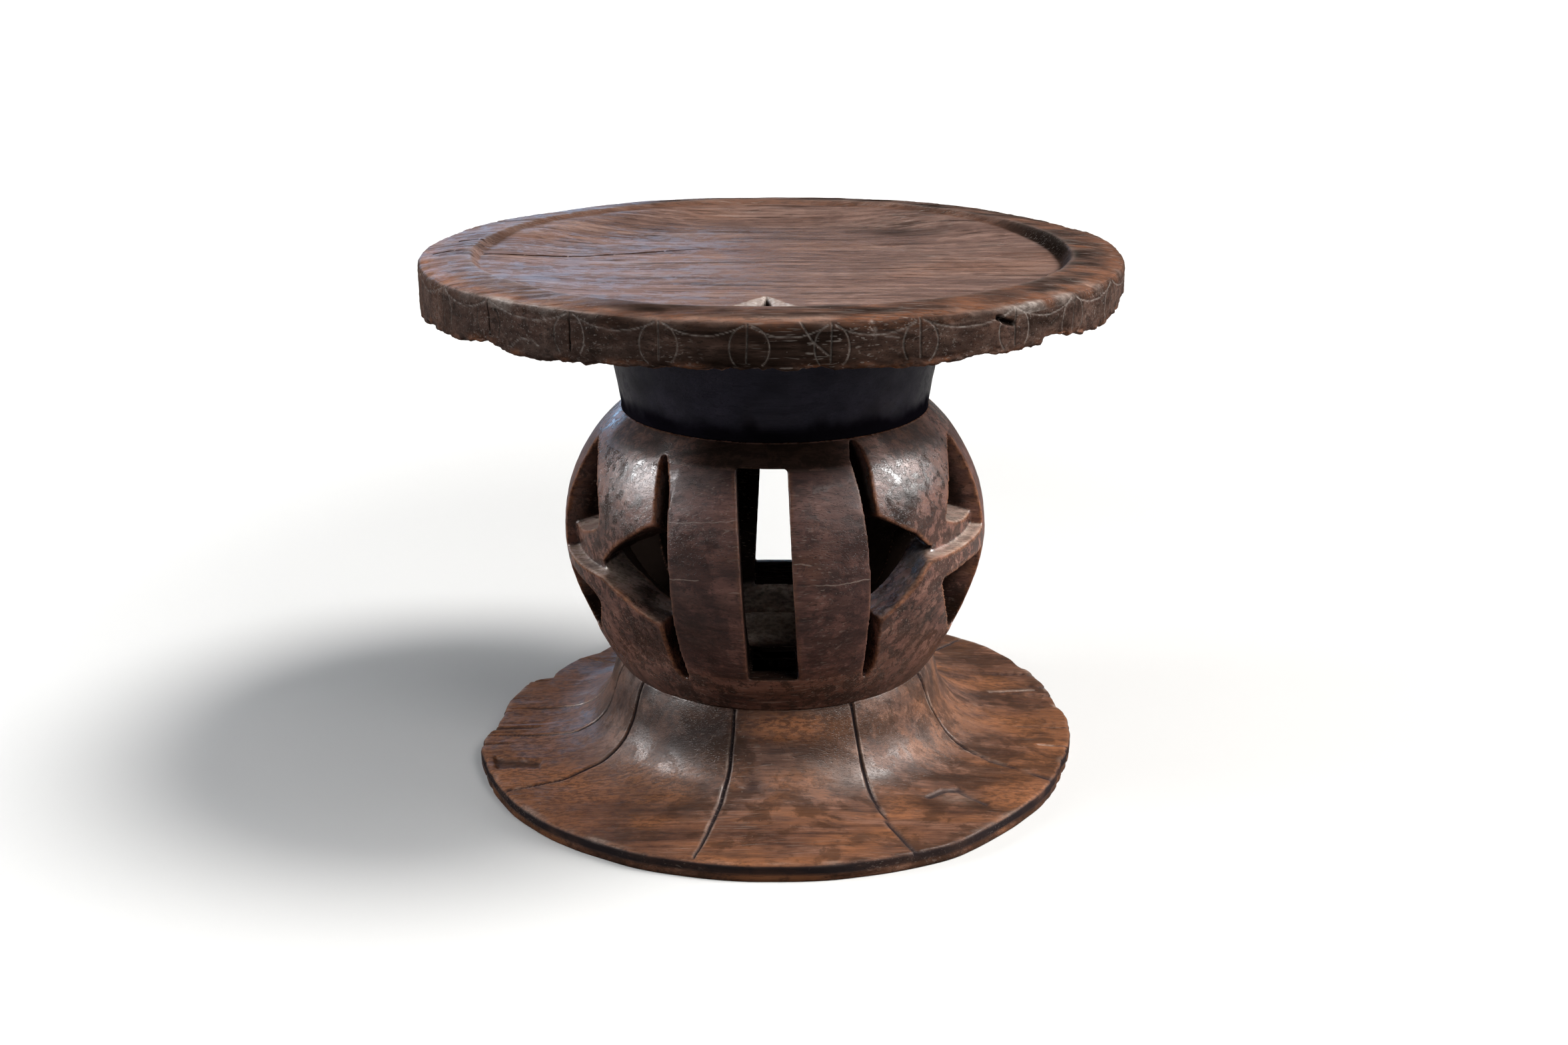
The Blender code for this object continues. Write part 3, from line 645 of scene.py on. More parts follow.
# Seat: a round board, dished, with a worn rim, a carved edge band and a broken lower edge
seat = {
    "radius": 0.2500,
    "top": 0.3890,
    "floor": 0.3800,
    "bottom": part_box("seat")[0].z,
    "bandFoot": 0.3560,  # heights of the carved lines are counted from here
    "crest": 0.2170,  # where the rim is highest
    "crestMiddle": 0.2160,
    "crestFront": 0.0045,
    "crestRight": -0.0025,
    "wallFoot": 0.2080,
    "floorRise": (0.0058, 0.0040),  # the floor of the dish climbs towards the back and the left
    "rimFall": 0.0034,
    "backRise": 0.0035,  # the rim stands a little higher at the back
    "edgeRound": 0.0042,
    "lowRound": 0.0030,
    "motifs": (-46.0, -30.0, -16.0, -3.6, 8.0, 21.0, 37.0, 50.0),  # seen from the front, degrees
    "moreMotifs": 18,
    "ovalWide": 0.0122,
    "ovalHigh": 0.0140,
    "ovalMiddle": 0.0135,
    "motifTop": 0.0280,
    "swagSag": 0.0078,
    "lineWide": 0.00048,
    "lineDeep": 0.0007,
    # height of the broken lower edge round the board, degrees and metres
    "lowEdge": (
        (-180, 0.3545), (-160, 0.3535), (-150, 0.3575), (-143, 0.3540), (-120, 0.3550), (-112, 0.3610),
        (-106, 0.3560), (-95, 0.3530), (-84, 0.3500), (-75, 0.3468), (-71, 0.3490), (-67, 0.3520),
        (-65.5, 0.3525), (-64, 0.3500), (-60, 0.3502), (-56, 0.3500), (-53, 0.3510), (-50, 0.3538),
        (-47.5, 0.3556), (-45, 0.3535), (-43, 0.3508), (-40, 0.3500), (-35, 0.3510), (-23, 0.3528),
        (-10, 0.3548), (0, 0.3553), (10, 0.3550), (20, 0.3535), (23, 0.3528), (24.5, 0.3550),
        (31, 0.3550), (35, 0.3540), (40, 0.3545), (42.5, 0.3560), (43.5, 0.3595), (47, 0.3592),
        (51, 0.3570), (54, 0.3552), (58, 0.3540), (63, 0.3548), (69, 0.3572), (73, 0.3608),
        (77, 0.3620), (83, 0.3590), (92, 0.3550), (110, 0.3540), (118, 0.3570), (125, 0.3545),
        (150, 0.3550), (162, 0.3600), (169, 0.3550), (180, 0.3545),
    ),
    "crack": (
        (-0.2100, -0.0110), (-0.1803, -0.0100), (-0.1500, -0.0030), (-0.1172, 0.0105),
        (-0.0813, 0.0246), (-0.0216, 0.0500),
    ),
    "rimCrack": ((-0.2440, -0.0270), (-0.2286, -0.0184), (-0.2140, -0.0190)),
    "backCrack": ((-0.2330, 0.0180), (-0.2181, 0.0240), (-0.2080, 0.0190)),
    "crackWide": 0.0009,
    "crackDeep": 0.0024,
    # three-sided hollow cut into the dish at the front: apex, left and right corner
    "notch": ((-0.0048, -0.1425), (-0.0460, -0.1980), (0.0330, -0.1980)),
    "notchHole": ((-0.0043, -0.1460), (-0.0128, -0.1970), (0.0044, -0.1970)),
    "notchDeep": 0.0016,
    "holeDeep": 0.0100,
    # outline: pulled in, with waves of (reach, count, start), and fuller at the sides and the left
    "inset": 0.0012,
    "wobble": ((0.0010, 3, 0.6), (0.0006, 7, 2.0)),
    "sideSwell": 0.0034,
    "leftSwell": 0.0028,
    "bandInside": 0.2430,  # radius where the underside meets the band
    "underSlope": (0.190, 0.2435),
    "lowRagged": 0.0007,
    "mostRise": 0.0068,
    # radii from where the dish climbs, the back rises, lines are cut, the side is painted dark with grime
    # and painted shade, and the rim is painted darker
    "climbFrom": (0.13, 0.205),
    "backFrom": (0.16, 0.21),
    "bandFrom": (0.2455, 0.2490),
    "sideFrom": (0.2478, 0.2494),
    "rimFrom": (0.2140, 0.2190),
    # mesh: finer beside the motifs, the crack and the hollow; finest and widest step, largest stride
    "motifReach": 3.0,
    "fineSpots": ((-91.5, 6.0), (-1.5, 10.0)),
    "turnSteps": (0.13, 0.40, 16),
    # rows of the dish: out to this radius, stride and step
    "innerRows": (
        (0.018, 16, 0.0035), (0.040, 8, 0.0035), (0.085, 4, 0.0035), (0.135, 2, 0.0021),
        (1.0, 2, 0.0014),
    ),
    "underRows": (
        (0.2425, 1), (0.2380, 2), (0.2320, 2), (0.2250, 2), (0.2150, 4), (0.2000, 4), (0.1800, 4),
        (0.1550, 8), (0.1100, 8), (0.0600, 16), (0.0, 1),
    ),
    # small foot arc between two motifs, stray knife marks and a split:
    # angle, path, half width, depth, darkness
    "strays": (
        (-38.6, ((-0.013, 0.0005), (-0.004, 0.0072), (0.006, 0.0078), (0.012, 0.004)), 0.00048, 0.0007, 0.1),
        (5.4, ((-0.008, 0.031), (0.0, 0.018), (0.010, 0.009)), 0.000624, 0.0007, 0.2),
        (14.2, ((-0.002, 0.030), (0.0005, 0.022), (0.001, 0.012)), 0.000576, 0.00049, 0.2),
        (15.6, ((0.0, 0.019), (0.009, 0.018)), 0.000432, 0.00042, 0.0),
        (35.2, ((-0.0065, 0.0232), (0.0, 0.0198), (0.0062, 0.0180)), 0.0019, 0.0042, 1.0),
    ),
    "chipInside": 0.2400,
    "chipHigh": 0.0085,
    "chipDeep": (0.0010, 0.0016),  # mean and spread
    "nickDeep": 0.0022,
    "toolDeep": 0.0006,
    "fibreDeep": (0.00022, 0.00016),
    "crackFade": ((-0.245, 1.0), (-0.130, 0.8), (-0.090, 0.0)),  # how far open along x
    # rings of wear and of painted glints on top: radius and reach
    "glintRing": (0.2480, 0.0022),
    "nickRing": (0.2465, 0.0045),
    "rimRing": (0.2440, 0.0060),
    "crestReach": 0.0030,
    # where the painted shadow under the dish wall lies: radii, then degrees of the crescent
    "wallRing": (0.2040, 0.2090, 0.2140, 0.2180),
    "shadowCrescent": (55.0, 72.0, 110.0, 128.0),  # degrees
    # painted highlight: glints on the rim's rounded outer edge, left and right of the front
    "edgeGlints": ((-38.0, 11.0), (41.0, 7.0)),  # degrees: middle and reach
    "rawChips": (13.0, 12.0),
    # dark spots on top: middle, reach along x and y, darkness
    "stains": (
        (-0.076, -0.2265, 0.022, 0.0050, 0.6), (0.100, 0.106, 0.034, 0.018, 0.40),
        (0.118, 0.160, 0.026, 0.010, 0.40), (-0.1144, -0.0121, 0.007, 0.0022, 0.6),
        (-0.0949, 0.0975, 0.008, 0.0030, 0.5), (0.020, 0.120, 0.120, 0.060, 0.25),
    ),
    "seamTail": 0.9,  # share of a crack's last stretch that runs out
    "look": {
        "deep": (0.092, 0.048, 0.037),
        "mid": (0.158, 0.088, 0.067),
        "light": (0.262, 0.164, 0.130),
        "pale": (0.47, 0.42, 0.385),
        "roughness": (0.40, 0.60),
        "gloss": 0.22,
        "mottle": 40.0,
        "fibreShare": 0.80,
        "warmShare": 0.30,
        "scuffShare": 0.24,
        "stainShare": 0.30,
        "smokeShare": 0.18,
        "streakShare": 0.62,
        "relief": 0.22,
    },
}


def seatRows():
    floor, top, bottom, radius = seat["floor"], seat["top"], seat["bottom"], seat["radius"]
    wallFoot, crest = seat["wallFoot"], seat["crest"]
    rows = [(0.0, floor, 1)]
    r = 0.004
    while r < wallFoot - 0.001:
        stride, step = next((stride, step) for reach, stride, step in seat["innerRows"] if r < reach)
        rows.append((r, floor, stride))
        r += step
    for t in np.linspace(0.0, 1.0, 11):
        rows.append((wallFoot + (crest - wallFoot) * t, floor + (top - floor) * smoothStep(0.0, 1.0, t), 2))
    corner = seat["edgeRound"]
    for t in np.linspace(0.0, 1.0, 15)[1:]:
        rows.append((crest + (radius - corner - crest) * t, top - seat["rimFall"] * t**1.7, 2))
    centre = top - seat["rimFall"] - corner
    for t in np.linspace(0.0, 1.0, 10)[1:]:
        turn = math.radians(80.0 * (1.0 - t))
        rows.append((radius - corner + corner * math.cos(turn), centre + corner * math.sin(turn), 1))
    low = seat["lowRound"]
    for z in np.linspace(centre, bottom + low, 30)[1:]:
        rows.append((radius, z, 1))
    for t in np.linspace(0.0, 1.0, 7)[1:]:
        turn = math.radians(90.0 * t)
        rows.append((radius - low + low * math.cos(turn), bottom + low - low * math.sin(turn), 1))
    return rows + [(r, bottom, stride) for r, stride in seat["underRows"]]


def motifAngles():
    spin = np.random.default_rng(7)
    angles = list(seat["motifs"])
    gap = (360.0 + angles[0] - angles[-1]) / (seat["moreMotifs"] + 1)
    for k in range(seat["moreMotifs"]):
        angles.append(seat["motifs"][-1] + gap * (k + 1) + spin.uniform(-1.2, 1.2))
    return angles


def bandStrokes():
    # incised lines of the edge band: (angle of origin, path in metres, half width, depth, darkness)
    spin = np.random.default_rng(11)
    angles = motifAngles()
    wide, deep = seat["lineWide"], seat["lineDeep"]
    strokes = []
    for k, angle in enumerate(angles):
        lean = spin.uniform(-0.0012, 0.0012)
        for side in (-1.0, 1.0):
            size = spin.uniform(0.85, 1.1)
            path = []
            for turn in np.radians(np.linspace(spin.uniform(-58, -30), 78, 14)):
                u = side * seat["ovalWide"] * size * math.cos(turn) + lean
                path.append((u, seat["ovalMiddle"] + seat["ovalHigh"] * math.sin(turn)))
            cut = deep * spin.uniform(0.6, 1.2)
            shade = 0.8 if k == 0 else spin.uniform(0.0, 0.35)
            strokes.append((angle, path, wide, cut, shade))
        line = [(0.0, 0.0045), (lean * 0.6, 0.016), (lean, seat["motifTop"])]
        strokes.append((angle, line, wide * 1.1, deep * 1.5, 0.95 if k < 2 else spin.uniform(0.1, 0.5)))
        reach = math.radians((angles[(k + 1) % len(angles)] - angle) % 360.0) * seat["radius"]
        swag = []
        for t in np.linspace(0.06, 0.94, 16):
            sag = seat["swagSag"] * spin.uniform(0.97, 1.03) * (1.0 - (2.0 * t - 1.0) ** 2)
            swag.append((reach * t, seat["motifTop"] - sag))
        strokes.append((angle, swag, wide * 0.9, deep * 0.8, spin.uniform(0.0, 0.2)))
    return strokes + list(seat["strays"])


def carveBand(angle, lift):
    # depth, pale and dark amounts of the incised lines at points (angle, height above the band's foot)
    depth, pale, dark = np.zeros(len(angle)), np.zeros(len(angle)), np.zeros(len(angle))
    margin = 0.004
    for origin, path, wide, deep, shade in bandStrokes():
        u = ((angle - math.radians(origin) + math.pi) % (2.0 * math.pi) - math.pi) * seat["radius"]
        us = [p[0] for p in path]
        near = np.nonzero((u > min(us) - margin) & (u < max(us) + margin))[0]
        cut = 1.0 - smoothStep(0.0, wide * 1.35, lineDistance(u[near], lift[near], path))
        depth[near] = np.maximum(depth[near], deep * cut)
        pale[near] = np.maximum(pale[near], cut * (1.0 - shade) * 0.58)
        # the dark in the deeper lines is painted shade
        dark[near] = np.maximum(dark[near], cut * shade)
    return depth, pale, dark


def insideWedge(x, y, corners):
    # signed distance inside a triangle, positive within
    gap = np.full(len(x), 1e9)
    for (x0, y0), (x1, y1) in zip(corners, corners[1:] + corners[:1]):
        length = math.hypot(x1 - x0, y1 - y0)
        gap = np.minimum(gap, ((x1 - x0) * (y - y0) - (y1 - y0) * (x - x0)) / length)
    return gap


def seatForm():
    # the board with its hand-cut roundness and broken lower edge, and where each of its points lies
    spots = [(angle, seat["motifReach"]) for angle in motifAngles()] + list(seat["fineSpots"])
    angle, radius, height, faceGroups = spinRows(seatRows(), crowdedTurns(spots, *seat["turnSteps"]))
    degrees = np.degrees(angle)
    bottom, rim, middle = seat["bottom"], seat["radius"], seat["crest"]
    front, right = np.cos(angle), np.sin(angle)
    onTop, below = height > seat["floor"] - 0.0005, height <= bottom + 1e-6
    # the dish sits a little forward and left, the outline wobbles
    crest = seat["crestMiddle"] + seat["crestFront"] * front + seat["crestRight"] * right
    outline = rim - seat["inset"] + seat["sideSwell"] * np.abs(right) ** 3
    outline += seat["leftSwell"] * smoothStep(0.6, 1.0, -right)
    for reach, count, start in seat["wobble"]:
        outline += reach * np.sin(count * angle + start)
    share = np.clip((radius - middle) / (rim - middle), 0.0, 1.0)
    r = np.where(onTop & (radius <= middle), radius * crest / middle, crest + (outline - crest) * share)
    r = np.where(below, radius * outline / rim, r)
    z = height.copy()
    # the band ends higher or lower, the underside slopes to meet it
    bandTop = seat["top"] - seat["rimFall"] - seat["edgeRound"]
    ragged = onAxis(angle, np.full(len(angle), rim), height * 0.0)
    lowEdge = between(degrees, seat["lowEdge"]) + seat["lowRagged"] * layeredNoise(ragged, 0.006, 21)
    band = (height < bandTop) & (radius > seat["bandInside"])
    z[band] = bandTop - (bandTop - height[band]) * (bandTop - lowEdge[band]) / (bandTop - bottom)
    under = below & (radius <= seat["bandInside"])
    z[under] = bottom + (lowEdge[under] - bottom) * smoothStep(*seat["underSlope"], radius[under])
    lift = z - seat["bandFoot"]
    # the dish climbs and the rim stands higher
    backRise, leftRise = seat["floorRise"]
    climb = backRise * smoothStep(-0.1, 0.8, -front) + leftRise * smoothStep(0.3, 1.0, -right)
    dish = hump(radius, (*seat["climbFrom"], seat["wallFoot"], middle))
    z += np.minimum(climb, seat["mostRise"]) * dish * onTop
    z += seat["backRise"] * smoothStep(0.2, -1.0, front) * smoothStep(*seat["backFrom"], radius) * onTop
    mesh = meshFromArrays("seat", onAxis(angle, r, z), faceGroups)
    return mesh, SimpleNamespace(
        angle=angle, degrees=degrees, front=front, right=right, radius=radius, height=height, z=z, lift=lift,
        onTop=onTop, below=below, bandTop=bandTop, lowEdge=lowEdge,
    )


def carveSeat(mesh, at):
    # cuts the band, chips, tool marks, crack and hollow; returns what the wear follows
    points, normals = readPoints(mesh), readNormals(mesh)
    x, y, radius, onTop = points[:, 0], points[:, 1], at.radius, at.onTop
    onBand = smoothStep(*seat["bandFrom"], radius) * (at.z > at.lowEdge - 0.001)
    depth, pale, dark = (amount * onBand for amount in carveBand(at.angle, at.lift))
    # chips along the lower edge and nicks along the upper one
    crumbs = smoothStep(seat["chipHigh"], 0.0, at.z - at.lowEdge) * (at.height < at.bandTop)
    crumbs = crumbs * (radius > seat["chipInside"])
    rough = np.clip(layeredNoise(points, (0.010, 0.006, 0.004), 31, 4), -0.6, 1.0)
    depth += crumbs * (seat["chipDeep"][0] + seat["chipDeep"][1] * rough)
    nicks = np.clip(softNoise(points, (0.011, 0.007, 0.010), 41) - 0.25, 0.0, 1.0)
    depth += bell(radius, *seat["nickRing"]) * onTop * seat["nickDeep"] * nicks
    # tool marks and worn fibre along X
    waves = seat["toolDeep"] * layeredNoise(points, (0.060, 0.035, 0.035), 51, 2)
    fibre = seat["fibreDeep"][0] * softNoise(points, (0.060, 0.0032, 0.0032), 61)
    fibre += seat["fibreDeep"][1] * softNoise(points, (0.030, 0.0018, 0.0018), 62)
    fibre *= np.where(onTop & (radius < seat["wallFoot"]), 0.8, 1.3)
    moved = points + normals * (waves + fibre - depth)[:, None]
    # crack along the grain
    away = lineDistance(x, y, seat["crack"]) + 0.0002 * softNoise(points, 0.004, 71)
    gap = (1.0 - smoothStep(0.0, seat["crackWide"] * 1.5, away)) * between(x, seat["crackFade"]) * onTop
    moved[:, 2] -= seat["crackDeep"] * gap
    # three-sided hollow near the front of the dish
    wedge, hole = insideWedge(x, y, seat["notch"]), insideWedge(x, y, seat["notchHole"])
    flank = np.clip(wedge / np.maximum(wedge - np.minimum(hole, 0.0), 1e-6), 0.0, 1.0) * (wedge > 0) * onTop
    moved[:, 2] -= seat["notchDeep"] * flank
    moved[:, 2] -= (seat["holeDeep"] - seat["notchDeep"]) * smoothStep(-0.0002, 0.0012, hole) * onTop
    writePoints(mesh, moved)
    cutFaces = smoothStep(0.02, 0.15, flank) * (hole < 0.0004)
    # painted shade inside the hole
    holeShade = smoothStep(-0.0008, 0.0002, hole) * onTop
    return SimpleNamespace(
        points=points, pale=pale, dark=dark, crumbs=crumbs, gap=gap, faces=cutFaces, hole=holeShade,
    )


def wearSeat(mesh, at, cuts):
    # worn, broken and dirty places, with painted glints and painted shade, painted on the mesh
    points, pale, dark = cuts.points, cuts.pale, cuts.dark
    x, y, radius, front, right = points[:, 0], points[:, 1], at.radius, at.front, at.right
    mask = layeredNoise(points, (0.030, 0.012, 0.012), 81, 4)
    rimEdge = bell(radius, *seat["rimRing"]) * at.onTop
    pale += rimEdge * noisy(-0.06, 0.3, mask, 0.0, 0.3)
    pale += bell(radius, seat["crest"], seat["crestReach"]) * at.onTop * 0.08
    # painted highlight: glints along the rim's outer edge
    corner = bell(radius, *seat["glintRing"]) * at.onTop
    for middle, wide in seat["edgeGlints"]:
        pale += corner * bell(at.degrees, middle, wide) * noisy(0.45, 0.6, mask, 0.0, 0.8)
    pale += cuts.faces * (0.70 + 0.35 * softNoise(points, (0.0016, 0.02, 0.02), 83))
    warm = rimEdge * noisy(0.55, 0.6, mask, 0.0, 1.0) * smoothStep(-0.2, 0.6, front + 0.4)
    broken = layeredNoise(points, (0.014, 0.010, 0.006), 91, 3)
    warm += cuts.crumbs * noisy(0.25 + 0.35 * bell(at.degrees, *seat["rawChips"]), 0.9, broken, 0.0, 0.95)
    # the band's side is painted dark: dark patina and painted shade, darkest in front and at the back
    sides = smoothStep(*seat["sideFrom"], radius) * (at.height < at.bandTop + 0.003)
    grimeAndShade = noisy(0.90 - 0.40 * np.abs(right), 0.20, mask, 0.0, 0.94)
    dark += sides * grimeAndShade * (1.0 - 0.8 * np.clip(pale, 0.0, 1.0))
    # the rim is painted darker than the dish, most of all in front and on the right: browner wood with
    # painted shade
    onRim = smoothStep(*seat["rimFrom"], radius) * at.onTop
    dark += onRim * (0.72 + 0.35 * mask) * (1.0 - 0.85 * smoothStep(0.2, 0.9, -right))
    warm += onRim * noisy(0.12, -0.5, mask, 0.0, 0.5) * smoothStep(-0.9, 0.2, right)
    for middleX, middleY, wideX, wideY, amount in seat["stains"]:
        spot = bell(x, middleX, wideX) * bell(y, middleY, wideY) * at.onTop
        dark += amount * spot * (1.0 + 0.5 * mask)
    # painted shadow: a crescent under the wall on the right, and a thin dark orange-brown line along the
    # back wall
    wall = hump(radius, seat["wallRing"]) * at.onTop
    shadowCrescent = hump(at.degrees, seat["shadowCrescent"])
    dark += wall * (0.80 * shadowCrescent + 0.50 * smoothStep(-0.2, 0.3, -front))
    warm += wall * 0.35 * smoothStep(0.2, 0.6, -front)
    # painted shade on the underside
    dark += at.below * 0.55
    dark = np.clip(np.maximum(dark, cuts.gap * 0.95), 0.0, 1.0) * (1.0 - cuts.faces)
    # painted shade fills the hole of the three-sided hollow
    dark = np.maximum(dark, cuts.hole) * (1.0 - 0.7 * np.clip(warm, 0.0, 1.0))
    dull = np.clip(0.75 * onRim * smoothStep(-0.9, 0.0, right) + 0.75 * sides, 0.0, 0.8)
    paintPoints(mesh, pale=pale * (1.0 - cuts.hole), dark=dark, warm=warm, dull=dull)


def seatSeams():
    # the cracks as fine dark lines, each run out at its end
    seams = []
    for line in (seat["crack"], seat["rimCrack"], seat["backCrack"]):
        for (x0, y0), (x1, y1) in zip(line[:-1], line[1:]):
            tail = (x1 - x0) * seat["seamTail"] if (x1, y1) == line[-1] else 0.001
            seams.append((x0, x1, y0, y1, tail))
    return seams


def buildSeat():
    mesh, at = seatForm()
    wearSeat(mesh, at, carveSeat(mesh, at))
    look = {**baseLook, **seat["look"], "seams": seatSeams()}
    addPiece("carvedSeat", mesh, woodFinish("seatPatina", look), "seat")


buildSeat()
print("seat built")

# Neck: a smooth dark collar that flares up to the seat
neck = {
    "low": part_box("globe_crown")[1].z,
    "high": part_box("seat")[0].z,
    "footRadius": 0.1145,
    "headRadius": 0.1300,
    "flare": 1.3,
    "capRows": ((0.0, 0.06, 0.11), (0.09, 0.04, 0.0)),  # radii on top and below
    "sideRows": 46,
    "turns": 360,
    "sideInside": 0.112,
    "wobble": 0.0006,
    "facetDeep": 0.0005,
    "creaseShadeHigh": (0.020, 0.003),  # painted shade in the crease above the globe
    "look": {
        "deep": (0.013, 0.011, 0.018),
        "mid": (0.022, 0.018, 0.029),
        "light": (0.034, 0.028, 0.041),
        "warm": (0.022, 0.013, 0.012),
        "stain": (0.005, 0.004, 0.006),
        "pore": (0.004, 0.003, 0.005),
        "grimeAndShade": (0.006, 0.005, 0.008),
        "pale": (0.09, 0.08, 0.09),
        "smoke": (0.005, 0.004, 0.006),
        "scuffShare": 0.2,
        "roughness": (0.28, 0.42),
        "gloss": 0.38,
        "relief": 0.2,
        "tint": (0.72, 0.74, 1.0),
    },
}


def buildNeck():
    low, high = neck["low"], neck["high"]
    above, below = neck["capRows"]
    rows = [(r, high, 1) for r in above]
    for z in np.linspace(high, low, neck["sideRows"]):
        t = (z - low) / (high - low)
        spread = (neck["headRadius"] - neck["footRadius"]) * t ** neck["flare"]
        rows.append((neck["footRadius"] + spread, z, 1))
    rows += [(r, low, 1) for r in below]
    angle, radius, height, faceGroups = spinRows(rows, evenTurns(neck["turns"]))
    mesh = meshFromArrays("neck", onAxis(angle, radius, height), faceGroups)
    points, normals = readPoints(mesh), readNormals(mesh)
    side = (radius > neck["sideInside"]) & (height < high - 0.0005) & (height > low + 0.0005)
    move = neck["wobble"] * layeredNoise(points, (0.05, 0.05, 0.03), 111, 3)
    move += neck["facetDeep"] * softNoise(np.stack([angle * 6.0, height * 0.0, height * 30.0], 1), 1.0, 112)
    writePoints(mesh, points + normals * (move * side)[:, None])
    wear = layeredNoise(points, 0.016, 113, 4)
    # painted shade at the neck's foot, where it meets the dark globe
    creaseShadeTop, creaseShadeFoot = neck["creaseShadeHigh"]
    darkening = 0.9 * smoothStep(low + creaseShadeTop, low + creaseShadeFoot, points[:, 2])
    pale, dark = noisy(-0.75, 1.0, wear, 0.0, 1.0) * 0.3, noisy(0.1, 0.3, wear, 0.0, 0.4) + darkening
    paintPoints(mesh, pale=pale, dark=dark, warm=np.zeros(len(points)))
    look = {**baseLook, **neck["look"]}
    addPiece("flaredNeck", mesh, woodFinish("neckPatina", look), "neck")


buildNeck()
print("neck built")

# Globe: a hollow turned ball, pierced and carved, then parted into the pieces of the openwork
globe = {
    "cupBottom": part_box("globe_cup")[0].z,
    "cupTop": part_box("globe_cup")[1].z,
    "crownBottom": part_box("globe_crown")[0].z,
    "crownTop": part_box("globe_crown")[1].z,
    "equator": 0.175,
    "radius": 0.1593,
    "headRadius": 0.1145,
    "footRadius": 0.1210,
    "upperBulge": 2.13,
    "lowerBulge": 1.52,
    "hollowRadius": 0.125,
    "hollowEnd": 0.075,
    "wellRadius": 0.070,  # where the hollow runs on down into the foot
    "panelStep": 0.0105,
    "panelEase": 1.35,
    "windowWide": 0.0355,
    "windowShift": -0.0045,
    "windowLean": 3.0,
    "frontSill": 0.1062,
    "backSill": 0.0985,
    "wall": 0.030,  # depth over which a leaning cut is counted
    "starSpread": 9.0,  # degrees by which a star's tip runs on sideways through the wall
    "grid": 0.0011,  # voxel size of the carved mesh
    "relaxPasses": 2,
    "relaxWeight": 0.35,
    "edgeBend": 0.00020,  # bend of a sharp cut edge
    "turns": 192,
    "ballRows": 72,
    "hollowRows": 40,
    "wellFlare": (0.002, 0.012),  # wider by, from this far below the cup's top
    "wellPast": 0.010,
    "prism": (0.9, 1.06, 8),  # a cutting block: shares of hollowEnd and radius, layers
    "cutSkin": 0.003,  # how far below the surface a leaning cut starts
    "outlineStep": 0.004,
    "cutLift": 0.0012,  # where the middle parts from crown and cup
    "ledgeLift": 0.0010,
    "wallMiddle": 0.128,
    "facing": (0.30, 0.62),  # from a cut face to the outer skin or the hollow
    "skinMarks": 0.0005,
    "hollowMarks": 0.0012,
    "fibreDeep": 0.00016,
    "nickDeep": 0.0012,
    # where wear, grime, painted light and painted shade lie: degrees from the front or the back, and heights
    "rubbedTurn": (26.0, 31.0),
    "shelfTurn": (44.0, 54.0),
    "shelfHigh": (0.15, 0.22),
    "starTurn": (27.0, 31.0, 46.0, 52.0),
    "starHigh": (0.135, 0.195),
    "lowerTurn": (40.0, 48.0),
    "lowerFrom": (0.145, 0.125),
    "wellFrom": (0.104, 0.094),
    "wellWide": 0.045,
    "sillHigh": 0.125,
    "sillWide": 0.03,
    "crownTurn": (16.0, 50.0),
    "crownFrom": (0.2530, 0.2595),
    "browTurn": (30.0, 42.0, 64.0, 74.0),
    "browFrom": (0.246, 0.264),
    "waistTurn": (24.0, 28.0),
    "waist": (0.205, 0.020),  # middle and reach
    "underFrom": (0.102, 0.084),
    "panelLook": {
        "deep": (0.074, 0.035, 0.028),
        "mid": (0.210, 0.097, 0.074),
        "light": (0.350, 0.180, 0.136),
        "warm": (0.190, 0.080, 0.047),
        "warmShare": 0.45,
        "stain": (0.026, 0.015, 0.012),
        "raw": (0.300, 0.135, 0.075),
        "smoke": (0.024, 0.014, 0.012),
        "smokeShare": 0.72,
        "flecks": 130.0,
        "fleckRelief": 0.14,
        "roughness": (0.20, 0.40),
        "gloss": 0.50,
        "mottle": 60.0,
        "scuffShare": 0.3,
    },
    # what the ribs have otherwise
    "ribLook": {
        "deep": (0.060, 0.029, 0.025),
        "mid": (0.140, 0.065, 0.054),
        "light": (0.230, 0.112, 0.090),
        "warmShare": 0.40,
        "smoke": (0.030, 0.018, 0.018),
        "smokeShare": 0.55,
        "flecks": 60.0,
        "fleckRelief": 0.08,
        "scuffShare": 0.22,
        "fibre": 190.0,
        "gloss": 0.28,
        "roughness": (0.34, 0.50),
        # from x to x, from height to height
        "checks": (
            (-0.0740, -0.0240, 0.2212, 0.2277), (-0.0740, -0.0500, 0.1830, 0.1860),
            (-0.0320, -0.0220, 0.1785, 0.1786), (0.0140, 0.0670, 0.1843, 0.1843),
            (0.0120, 0.0230, 0.1994, 0.1986),
        ),
    },
}
